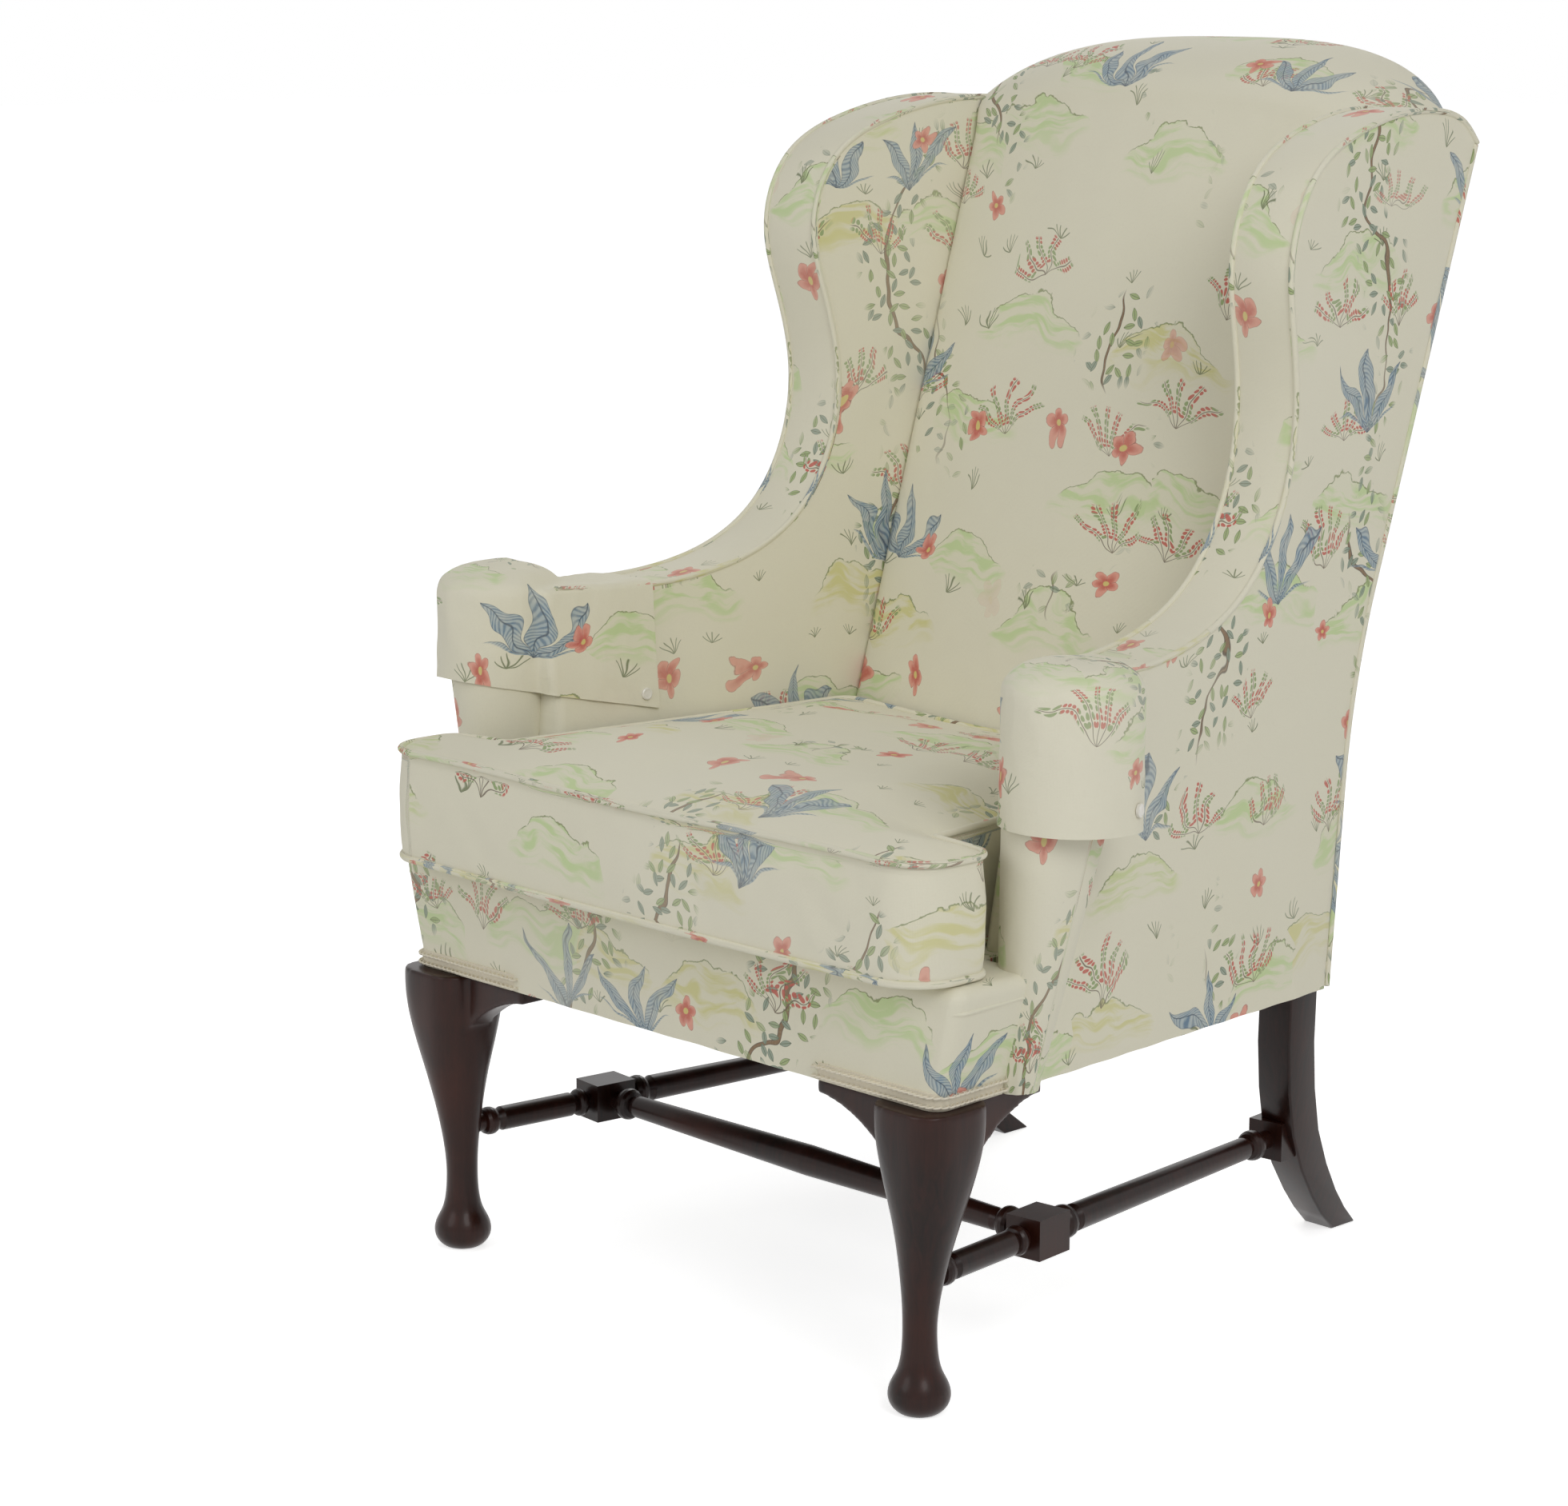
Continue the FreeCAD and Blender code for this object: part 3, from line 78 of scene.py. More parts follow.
def to_metres(points):
    """Points of (x, depth, z) in millimetres become points of the chair's frame in metres."""
    spots = np.array(points, dtype=float)
    spots[..., 1] += SEAT_FRONT
    return spots / 1000


def points_of(*coordinates):
    """Points from one array or number for each coordinate, such as x, depth and z."""
    return np.stack(np.broadcast_arrays(*coordinates), axis=-1)


def flipped(points, side):
    """Points of the right side, moved to the left one where that is asked for."""
    points = np.array(points, dtype=float)
    if side == "left":
        points[..., 0] *= -1
    return points


def sided(name, side):
    """A name with its side at the end, for what comes in pairs."""
    return name + "_" + side if side else name


def add_object(name, data):
    """A new object in the scene round a mesh, curve, lamp or camera."""
    made = bpy.data.objects.new(name, data)
    bpy.context.scene.collection.objects.link(made)
    return made


def plain_mesh(piece):
    """The mesh that a piece's modifiers make of it."""
    return bpy.data.meshes.new_from_object(piece.evaluated_get(bpy.context.evaluated_depsgraph_get()))


def places(mesh):
    """The points of a mesh in millimetres."""
    spots = np.empty(len(mesh.vertices) * 3)
    mesh.vertices.foreach_get("co", spots)
    return spots.reshape(-1, 3) * 1000


def set_cloth_map(mesh, uv):
    """Lays the cloth on a mesh, from a place on it in metres for each point."""
    layer = mesh.uv_layers.new(name="cloth")
    corner = np.empty(len(mesh.loops), dtype=int)
    mesh.loops.foreach_get("vertex_index", corner)
    layer.data.foreach_set("uv", np.asarray(uv, dtype=float)[corner].ravel())


def shade_smooth(mesh, sharp=None):
    """Smooth shading, but for edges that turn by more than an angle in degrees."""
    for polygon in mesh.polygons:
        polygon.use_smooth = True
    if sharp:
        mesh.set_sharp_from_angle(angle=math.radians(sharp))


def tidy_mesh(mesh, sharp):
    """Merges doubled points, turns the faces outward and shades them smooth."""
    work = bmesh.new()
    work.from_mesh(mesh)
    bmesh.ops.remove_doubles(work, verts=work.verts, dist=1e-5)
    bmesh.ops.dissolve_degenerate(work, edges=work.edges, dist=1e-6)
    bmesh.ops.recalc_face_normals(work, faces=work.faces)
    work.to_mesh(mesh)
    work.free()
    shade_smooth(mesh, sharp)


def claim(piece, body, replaced=()):
    """Hangs a piece on its body's empty and hides the model nodes that it stands in for."""
    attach(piece, body)
    if replaced:
        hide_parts(*replaced)


def new_piece(name, points, faces, body, uv, replaced=(), sharp=50):
    """A closed piece from points in metres, with its cloth map."""
    mesh = bpy.data.meshes.new(name)
    mesh.from_pydata([tuple(point) for point in points], [], faces)
    set_cloth_map(mesh, uv)
    piece = add_object(name, mesh)
    tidy_mesh(mesh, sharp)
    claim(piece, body, replaced)
    return piece


def grid_faces(rows, columns, start=0, wrap=False):
    """Quads of a grid of points that is stored row by row."""
    faces = []
    for row in range(rows - 1):
        for column in range(columns if wrap else columns - 1):
            after = (column + 1) % columns
            faces.append((start + row * columns + column, start + row * columns + after,
                          start + (row + 1) * columns + after, start + (row + 1) * columns + column))
    return faces


def grid_rim(rows, columns):
    """Row and column of each point round the edge of a grid."""
    rim = [(0, column) for column in range(columns)]
    rim += [(row, columns - 1) for row in range(1, rows)]
    rim += [(rows - 1, column) for column in range(columns - 2, -1, -1)]
    return rim + [(row, 0) for row in range(rows - 2, 0, -1)]


def rim_faces(rows, columns, start=0):
    """Quads between the edges of two grids, the second stored right after the first."""
    count = rows * columns
    rim = [start + row * columns + column for row, column in grid_rim(rows, columns)]
    return [(here, here + count, there + count, there) for here, there in zip(rim, rim[1:] + rim[:1])]


def ring_faces(count, around):
    """Quads between rings of points, with a cap at each end."""
    caps = [tuple(range(around))[::-1], tuple((count - 1) * around + spot for spot in range(around))]
    return grid_faces(count, around, wrap=True) + caps


def sheet_solid(name, front, back, uv, node, side="", slot="upholstery"):
    """A closed piece of the chair between two grids of points in millimetres; it stands for one node."""
    rows, columns = front.shape[:2]
    points = np.concatenate([to_metres(flipped(grid, side)).reshape(-1, 3) for grid in (front, back)])
    faces = grid_faces(rows, columns)
    faces += [face[::-1] for face in grid_faces(rows, columns, rows * columns)] + rim_faces(rows, columns)
    flat = uv.reshape(-1, 2) / 1000
    return new_piece(sided(name, side), points, faces, "chair", np.concatenate([flat, flat]),
                     [sided(node, side)])


def ringed_solid(name, rings, body, uv, replaced=()):
    """A closed piece through rings of points in millimetres."""
    points = to_metres(rings).reshape(-1, 3)
    return new_piece(name, points, ring_faces(*rings.shape[:2]), body, uv.reshape(-1, 2) / 1000, replaced)


def circle(x, depth, radius, turn, z):
    """Points round a centre at one height; the radius may differ with the turn."""
    return points_of(x + radius * np.cos(turn), depth + radius * np.sin(turn), z)


def tube_rings(path, radius, around=10):
    """Rings of a round tube along a path of (x, depth, z); the frame is carried without twist."""
    along = np.gradient(path, axis=0)
    along /= np.linalg.norm(along, axis=1)[:, None]
    side = np.cross(along[0], (0.31, 0.2, 0.93))
    turn = np.linspace(0, 2 * math.pi, around, endpoint=False)
    rings = []
    for spot, direction in zip(path, along):
        side = side - direction * np.dot(side, direction)
        side /= np.linalg.norm(side)
        up = np.cross(direction, side)
        rings.append(spot + radius * (np.outer(np.cos(turn), side) + np.outer(np.sin(turn), up)))
    return np.array(rings)


def welt(name, path, body, radius=WELT_RADIUS, shift=0.0, closed=False):
    """A piped seam along a path, with the cloth cut on the bias; the shift is its place on the cloth."""
    path = evenly(path, 5.0)
    if closed:
        path = np.concatenate([path, path[1:2]])
    rings = tube_rings(path, radius)
    length = lengths(path)[:, None]
    around = np.linspace(0, 2 * math.pi * radius, rings.shape[1], endpoint=False)
    uv = points_of(length * 0.9 + around + shift * 1000, length * 0.35 - around + shift * 700)
    return ringed_solid(name, rings, body, uv)


def lengths(path):
    """How far each point of a path is from its start, along the path."""
    return np.concatenate([[0], np.cumsum(np.linalg.norm(np.diff(path, axis=0), axis=1))])


def evenly(path, step):
    """The same path with its points at an even spacing."""
    length = lengths(path)
    spots = np.linspace(0, length[-1], max(3, int(length[-1] / step)))
    return points_of(*(np.interp(spots, length, path[:, axis]) for axis in range(path.shape[1])))


def smooth_curve(knots, samples):
    """A natural cubic spline through knots, sampled evenly by chord length."""
    knots = np.asarray(knots, dtype=float)
    station = lengths(knots)
    gaps = np.diff(station)
    count = len(knots)
    system, target = np.zeros((count, count)), np.zeros((count, knots.shape[1]))
    system[0, 0] = system[-1, -1] = 1
    for here in range(1, count - 1):
        before, after = gaps[here - 1], gaps[here]
        system[here, here - 1:here + 2] = before, 2 * (before + after), after
        last, middle, following = knots[here - 1:here + 2]
        target[here] = 6 * ((following - middle) / after - (middle - last) / before)
    bend = np.linalg.solve(system, target)
    spots = np.linspace(0, station[-1], samples)
    index = np.clip(np.searchsorted(station, spots, side="right") - 1, 0, count - 2)
    width, left = gaps[index][:, None], (spots - station[index])[:, None]
    right = (station[index + 1] - spots)[:, None]
    return ((bend[index] * right ** 3 + bend[index + 1] * left ** 3) / (6 * width)
            + (knots[index] / width - bend[index] * width / 6) * right
            + (knots[index + 1] / width - bend[index + 1] * width / 6) * left)


def quadratic(share, first, control, last):
    """From a first to a last value, drawn towards a control value on the way."""
    return (1 - share) ** 2 * first + 2 * share * (1 - share) * control + share ** 2 * last


def ripple(points, size, seed, strength, waves=10):
    """Smooth random swell at points, for the hand-stuffed look of the padding."""
    rng = np.random.default_rng(seed)
    total = np.zeros(points.shape[:-1])
    for _ in range(waves):
        wave = rng.normal(size=points.shape[-1]) * 2 * math.pi / size
        total += np.sin(points @ wave + rng.uniform(0, 2 * math.pi))
    return total * strength / waves ** 0.5


def distance_to(points, path):
    """Distance from each point to the nearest point of a path, both flat."""
    flat = points.reshape(-1, points.shape[-1])
    best = np.full(len(flat), 1e9)
    for start, end in zip(path[:-1], path[1:]):
        run = end - start
        share = np.clip(((flat - start) @ run) / max(run @ run, 1e-9), 0, 1)
        best = np.minimum(best, np.linalg.norm(flat - start - share[:, None] * run, axis=1))
    return best.reshape(points.shape[:-1])


def smoothstep(value, low, high):
    """0 below one value and 1 above another, with a soft rise between."""
    share = np.clip((value - low) / (high - low), 0, 1)
    return share * share * (3 - 2 * share)


def rolled_edge(distance, radius):
    """How far a padded face turns away near its edge."""
    short = np.clip(1 - distance / radius, 0, 1)
    return radius * (1 - np.sqrt(1 - short ** 2))


# The chair's own curves

def rear_depth(z):
    """Depth of the rear edge of the side panels at a height."""
    def below(level):
        return REAR_FOOT + LOW_RAKE * (level - SEAT_BOTTOM)

    def above(level):
        return WING_REAR[0] - HIGH_RAKE * (WING_REAR[1] - level)

    z = np.asarray(z, dtype=float)
    start, end = REAR_BEND
    share = np.clip((z - start) / (end - start), 0, 1)
    bend = quadratic(share, below(start), below((start + end) / 2), above(end))
    return np.where(z <= start, below(z), np.where(z >= end, above(z), bend))


def outer_x_at(depth, z):
    """Outer face of the side at one level: it tapers to the rear and flares towards the arm's front."""
    ahead = rear_depth(z) - depth
    rise = np.clip((z - SEAT_BOTTOM) / (ARM_TOP - SEAT_BOTTOM), 0, 1)
    return SIDE_REAR_HALF + SEAT_TAPER * ahead + ARM_FLARE * rise * (ahead / FLARE_REACH) ** 2


def outer_x(depth, z):
    """Outer face of the arm and wing, ruled between three level sections as in the model."""
    depth, z = np.asarray(depth, dtype=float), np.asarray(z, dtype=float)
    levels = (SEAT_BOTTOM, ARM_TOP, SIDE_TOP)
    total = np.zeros(np.broadcast(depth, z).shape)
    for low, high in zip(levels, levels[1:]):
        share = np.clip((z - low) / (high - low), 0, 1)
        rears = [float(rear_depth(level)) + 10 for level in (low, high)]
        along = (depth - SIDE_NOSE) / (rears[0] + (rears[1] - rears[0]) * share - SIDE_NOSE)
        faces = []
        for level, rear in zip((low, high), rears):
            first, middle, last = (float(outer_x_at(SIDE_NOSE + (rear - SIDE_NOSE) * part, level))
                                   for part in (0, 0.5, 1))
            faces.append(quadratic(along, first, 2 * middle - (first + last) / 2, last))
        inside = (z >= low) & (z <= high) if high < SIDE_TOP else z > low
        total = np.where(inside, faces[0] + (faces[1] - faces[0]) * share, total)
    return np.where(z < SEAT_BOTTOM, outer_x_at(depth, SEAT_BOTTOM), total)


def roll_axis(z):
    """x, depth and radius of the rolled arm front at a height."""
    share = (np.asarray(z, dtype=float) - SEAT_BOTTOM) / (ROLL_SHOULDER - SEAT_BOTTOM)
    return [low + (high - low) * share for low, high in zip(ROLL_FOOT, ROLL_HEAD)]


def arm_line():
    """(depth, z) along the arm top, up the wing's front edge and over its crest to the rear corner."""
    foot, base = WING_FOOT
    nose, level = WING_NOSE
    sweep, tall = base - ARM_TOP, WING_PEAK[1] - level
    return smooth_curve([(SIDE_NOSE, 653), (foot - 1.6 * sweep, ARM_TOP), (foot - sweep, ARM_TOP + 2),
                         (foot - 0.29 * sweep, ARM_TOP + 0.295 * sweep), WING_FOOT,
                         (foot + 0.55 * (nose - foot), base + 0.55 * (level - base)), WING_NOSE,
                         (nose + 0.24 * tall, level + 70.6), (nose + 0.8 * tall, level + 108.4),
                         WING_PEAK, (750, 1103.2), WING_REAR], 400)


ARM_LINE = arm_line()

# Places (depth, z) on the front line of a side, and the height at the rear edge that each row runs to
ROW_ENDS = (((291, 647), 520), ((428, 702), 640), (WING_FOOT, 790), (WING_NOSE, 930), ((490, 1060), 985),
            ((560, 1096), 1030), (WING_PEAK, 1066), (WING_REAR, 1084))


def side_grid(front_shift, rear_shift, columns=44, rows=150):
    """(depth, z) of every point on a side, with its front line and its rear edge."""
    roll_z = np.linspace(SEAT_BOTTOM, ARM_TOP, 60)
    roll_front = roll_axis(roll_z)[1] + front_shift
    front = np.concatenate([points_of(roll_front, roll_z), ARM_LINE[ARM_LINE[:, 0] > roll_front[-1] + 2]])
    length = lengths(front)
    share = np.linspace(0, 1, rows) * length[-1]
    front = points_of(*(np.interp(share, length, front[:, axis]) for axis in (0, 1)))
    marks, heights = [0, length[len(roll_z) - 1]], [SEAT_BOTTOM, 430]
    for target, height in ROW_ENDS:
        marks.append(share[np.argmin(np.linalg.norm(front - np.array(target), axis=1))])
        heights.append(height)
    rear_z = np.interp(share, marks, heights)
    rear = points_of(rear_depth(rear_z) - rear_shift, rear_z)
    even = np.linspace(0, 1, columns)
    ease = 0.6 * (1 - np.cos(math.pi * even)) / 2 + 0.4 * even
    return front[:, None] + (rear - front)[:, None] * ease[None, :, None], front, rear


# Padded sides

def inside_cover(side):
    """Cloth over the padding inside the arm and wing, fuller away from its rolled edge."""
    grid, front, _ = side_grid(12, 6)
    depth, z = grid[..., 0], grid[..., 1]
    edge = distance_to(grid, evenly(front, 8.0))
    behind_roll = smoothstep(depth, 262, 330)
    puff = 5.5 * (1 - np.exp(-edge / 45)) * behind_roll - rolled_edge(edge, 7)
    puff += ripple(grid, 260, 5, 0.5) * smoothstep(edge, 5, 60) * behind_roll
    outer = outer_x(depth, z)
    piece = sheet_solid("inside_arm_wing_cover", points_of(outer - SIDE_THICK - puff, depth, z),
                        points_of(outer - 33, depth, z), points_of(depth + 40, z), "inside_arm_wing", side)


def outside_cover(side):
    """Cloth stretched over the outside of the arm and wing, puckered where it is tacked under the seat."""
    grid, front, rear = side_grid(2, 2)
    depth, z = grid[..., 0], grid[..., 1]
    rim = distance_to(grid, evenly(np.concatenate([front, rear[::-1]]), 12.0))
    pucker = 0.7 * np.sin(depth / 9.0) * np.exp(-np.abs(z - SEAT_BOTTOM) / 26)
    bulge = 1.8 * (1 - np.exp(-rim / 40)) - rolled_edge(rim, 4) + pucker * smoothstep(rim, 0, 14)
    bulge += ripple(grid, 300, 9, 0.5) * smoothstep(rim, 5, 60)
    outer = outer_x(depth, z)
    sheet_solid("outside_panel_cover", points_of(outer + bulge, depth, z), points_of(outer - 5, depth, z),
                points_of(-depth + 190, z + 20), "outside_panel", side)


def band_line():
    """The arm and wing line behind the roll, evenly spaced, and the way up from it at each point."""
    line = evenly(ARM_LINE[ARM_LINE[:, 0] > ROLL_DEPTH + 10], 7.0)
    along = np.gradient(line, axis=0)
    along /= np.linalg.norm(along, axis=1)[:, None]
    return line, points_of(-along[:, 1], along[:, 0])


def band_x(depth, z):
    """Outer face of the side at the edge band, held level over the wing's top."""
    return outer_x(depth, np.minimum(z, 1130))


def edge_band(side):
    """The strip between the two welts; it lies flat under the arm cover and is padded behind it."""
    line, normal = band_line()
    across = np.linspace(0, 1, 15)
    length = lengths(line)[:, None]
    behind_cover = smoothstep(length, 110, 170)
    crown = (3.0 * np.sin(math.pi * across) ** 0.7 - 1.0) * behind_cover - 1.0 * (1 - behind_cover)
    layers = []
    for rise in (crown, np.full(crown.shape, -7.0)):
        spot = line[:, None] + normal[:, None] * rise[..., None]
        depth, z = spot[..., 0], spot[..., 1]
        layers.append(points_of(band_x(depth, z) - SIDE_THICK * across, depth, z))
    sheet_solid("edge_band_cover", *layers, points_of(SIDE_THICK * across + 250, length), "edge_band", side)


def side_welts(side):
    """Piping along both edges of the band and down the rear edge."""
    line, normal = band_line()
    depth, z = (line + normal * -0.5).T
    for name, inward in (("outer", 0.5), ("inner", SIDE_THICK - 0.5)):
        path = points_of(band_x(depth, z) - inward, depth, z)
        welt("arm_welt_%s_%s" % (name, side), flipped(path, side), "chair", shift=0.55)
    z = np.linspace(WING_REAR[1] - 2, SEAT_BOTTOM + 2, 160)
    depth = rear_depth(z) - 2
    path = points_of(outer_x(depth, z) - 0.5, depth, z)
    welt("rear_welt_" + side, flipped(path, side), "chair", shift=0.37)


# Rolled arm fronts

def arm_roll(side):
    """A padded cone that widens and leans outward, domed at its top and gathered at its foot."""
    turn = np.linspace(0, 2 * math.pi, 96, endpoint=False)
    dome = ROLL_SHOULDER + ROLL_CAP * np.sin(np.linspace(0, math.pi / 2, 14))
    rings, uv = [], []
    for z in np.concatenate([np.linspace(SEAT_BOTTOM, ROLL_SHOULDER, 60)[:-1], dome]):
        x, depth, radius = roll_axis(min(z, ROLL_SHOULDER))
        over = max(0.0, (z - ROLL_SHOULDER) / ROLL_CAP)
        radius = max(1.0, radius * math.sqrt(max(0, 1 - over ** 2.2)))
        folds = 0.5 * np.sin(13 * turn) * math.exp(-(z - SEAT_BOTTOM) / 50) * (radius / 30)
        rings.append(circle(x, depth, radius + folds - 0.3, turn, z))
        uv.append(points_of((turn + 0.6) * 52, z + 30 + over * 40))
    piece = ringed_solid("arm_front_roll_cover_" + side, flipped(rings, side), "chair", np.array(uv),
                         ["arm_front_roll_" + side])


# Slip-on arm covers

def melted(mesh, voxel, rounds):
    """One smooth skin round shells that run into each other, remeshed in voxels and then softened."""
    form = add_object("form", mesh)
    remesh = form.modifiers.new("remesh", "REMESH")
    remesh.mode, remesh.voxel_size = "VOXEL", voxel
    soft = form.modifiers.new("soft", "SMOOTH")
    soft.factor, soft.iterations = 0.5, rounds
    skin = plain_mesh(form)
    bpy.data.objects.remove(form)
    return skin


def merged(meshes, name):
    """Several meshes as one, with doubled points merged and faces turned outward."""
    work = bmesh.new()
    for mesh in meshes:
        work.from_mesh(mesh)
    bmesh.ops.remove_doubles(work, verts=work.verts, dist=1e-5)
    bmesh.ops.recalc_face_normals(work, faces=work.faces)
    whole = bpy.data.meshes.new(name)
    work.to_mesh(whole)
    work.free()
    return whole


def cover_form():
    """The skin that a cover is draped on: the roll's head run on into the top of the arm."""
    turn = np.linspace(0, 2 * math.pi, 72, endpoint=False)
    sizes = [(COVER_FOOT, COVER_RADIUS), (600, COVER_RADIUS + 0.2)]
    sizes += [(ROLL_SHOULDER + (ROLL_CAP + COVER_GAP) * math.sin(step),
               max(1.0, (COVER_RADIUS + 0.6) * math.cos(step) ** 0.85))
              for step in np.linspace(0, math.pi / 2 - 0.02, 14)]
    head = np.array([circle(ROLL_X, ROLL_DEPTH, radius, turn, z) for z, radius in sizes])
    depth, z = np.meshgrid(np.linspace(130, 290, 40), np.linspace(COVER_FOOT, ARM_TOP + COVER_GAP, 30),
                           indexing="ij")
    walls = [points_of(outer_x(depth, np.minimum(z, ARM_TOP)) - inward, depth, z)
             for inward in (SIDE_THICK + COVER_GAP, -0.8)]
    start, (rows, columns) = len(sizes) * len(turn), depth.shape
    points = np.concatenate([to_metres(part).reshape(-1, 3) for part in (head, *walls)])
    faces = ring_faces(len(sizes), len(turn)) + grid_faces(rows, columns, start)
    faces += grid_faces(rows, columns, start + rows * columns) + rim_faces(rows, columns, start)
    mesh = bpy.data.meshes.new("form")
    mesh.from_pydata([tuple(point) for point in points], [], faces)
    return melted(merged([mesh], "form"), COVER_VOXEL, 12)


def trim_cover(mesh, hem_front, hem_rear):
    """Cuts the skin to the cover's hem and rear edge, and opens its outer side behind the roll."""
    work = bmesh.new()
    work.from_mesh(mesh)

    def cut(point, away, clear=False):
        """Cuts along a plane and may take off what lies beyond; the point is in millimetres."""
        bmesh.ops.bisect_plane(work, geom=work.verts[:] + work.edges[:] + work.faces[:], dist=1e-6,
                               plane_co=Vector(to_metres([point])[0]), plane_no=Vector(away),
                               clear_outer=clear)

    cut((0, ROLL_DEPTH, hem_front), (0, (hem_rear - hem_front) / (250 - ROLL_DEPTH), -1), clear=True)
    cut((0, 250, 0), (0, 1, 0), clear=True)
    opening = (float(outer_x(200, 600)) - 1.5, 178, 640.5)
    for away in ((1, 0, 0), (0, 1, 0), (0, 0, 1)):
        cut(opening, away)
    wall, rear, sill = to_metres([opening])[0]
    gone = []
    for face in work.faces:
        x, y, z = face.calc_center_median()
        if x > wall and y > rear and z < sill:
            gone.append(face)
    bmesh.ops.delete(work, geom=gone, context="FACES")
    bmesh.ops.delete(work, geom=[vert for vert in work.verts if not vert.link_faces], context="VERTS")
    work.to_mesh(mesh)
    work.free()


def crease(mesh, side):
    """Lifts the cloth off its form in soft folds, never into it, and flutes it a little at the hem."""
    spots = places(mesh)
    ways = np.array([tuple(vertex.normal) for vertex in mesh.vertices])
    turn = np.arctan2(spots[:, 1] - SEAT_FRONT - ROLL_DEPTH, np.abs(spots[:, 0]) - ROLL_X)
    seed = 31 if side == "right" else 47
    folds = ripple(spots * np.array([1, 1, 0.45]), 62, seed, 0.9) + ripple(spots, 30, seed + 1, 0.25)
    flutes = 0.7 * np.sin(7 * turn + seed) * np.exp(-np.abs(spots[:, 2] - 525) / 22)
    lift = np.clip(0.5 + folds + flutes, 0, 2.2)
    mesh.vertices.foreach_set("co", ((spots + ways * lift[:, None]) / 1000).ravel())
    mesh.update()


def cover_map(mesh):
    """Cloth map of a cover: round the roll, then straight back along its inner flap."""
    spots = places(mesh)
    x, depth, z = np.abs(spots[:, 0]) - ROLL_X, spots[:, 1] - SEAT_FRONT, spots[:, 2]
    turn = np.arctan2(ROLL_DEPTH - depth, -x)
    turn = np.where(turn < -1.6, turn + 2 * math.pi, turn)
    wrap = np.where((depth > ROLL_DEPTH) & (x < -10), depth, ROLL_DEPTH - COVER_RADIUS * np.maximum(turn, 0))
    reach = COVER_RADIUS - np.hypot(x, depth - ROLL_DEPTH)
    over = np.clip(reach, 0, COVER_RADIUS) * (z > ROLL_SHOULDER + 3)
    return points_of(wrap - 30, z + over + 95) / 1000


def arm_cover(side, hem_front, hem_rear):
    """A cloth cap over the roll with a flap down the inside of the arm, open at its hem."""
    mesh = cover_form()
    trim_cover(mesh, hem_front, hem_rear)
    if side == "left":
        mesh.transform(Matrix.Diagonal((-1, 1, 1, 1)))
        mesh.flip_normals()
    crease(mesh, side)
    cover = add_object("arm_cover_cloth_" + side, mesh)
    thick = cover.modifiers.new("thick", "SOLIDIFY")
    thick.thickness, thick.offset = COVER_CLOTH, -1
    cloth = plain_mesh(cover)
    cover.modifiers.clear()
    cover.data = cloth
    shade_smooth(cloth, 60)
    set_cloth_map(cloth, cover_map(cloth))
    claim(cover, "cover_" + side, ["arm_cover_" + side])


# Padded back with its arched crest

def crest_height(x):
    """Top of the back at one x, an arch that drops towards the wings."""
    share = np.clip(np.abs(x) / CREST_HALF, 0, 1)
    return CREST_TOP - CREST_RISE * (1 - np.sqrt(1 - share ** 3))


def back_front_depth(z):
    """Front of the padded back in its flat part."""
    return 490 + 0.295 * (z - CUSHION_EDGE)


def back_section(x, heights, rear):
    """Depths of the padded back at one x: its front, or its rear, turning over towards the crest."""
    top = float(crest_height(x))
    if rear:
        over = np.clip((heights - top + 30) / 30, 0, 1)
        return rear_depth(heights) - 1 - 25 * (1 - np.sqrt(1 - over ** 2))
    turn = min(60, top - 1040)
    start, crown = top - turn, 24 * max(0, 1 - (x / 253) ** 2)
    begin, end = back_front_depth(start) - crown, float(rear_depth(top)) - 26
    over = np.clip((heights - start) / turn, 0, 1)
    return np.where(heights > start, begin + (end - begin) * (1 - np.sqrt(1 - over ** 2)),
                    back_front_depth(heights) - crown)


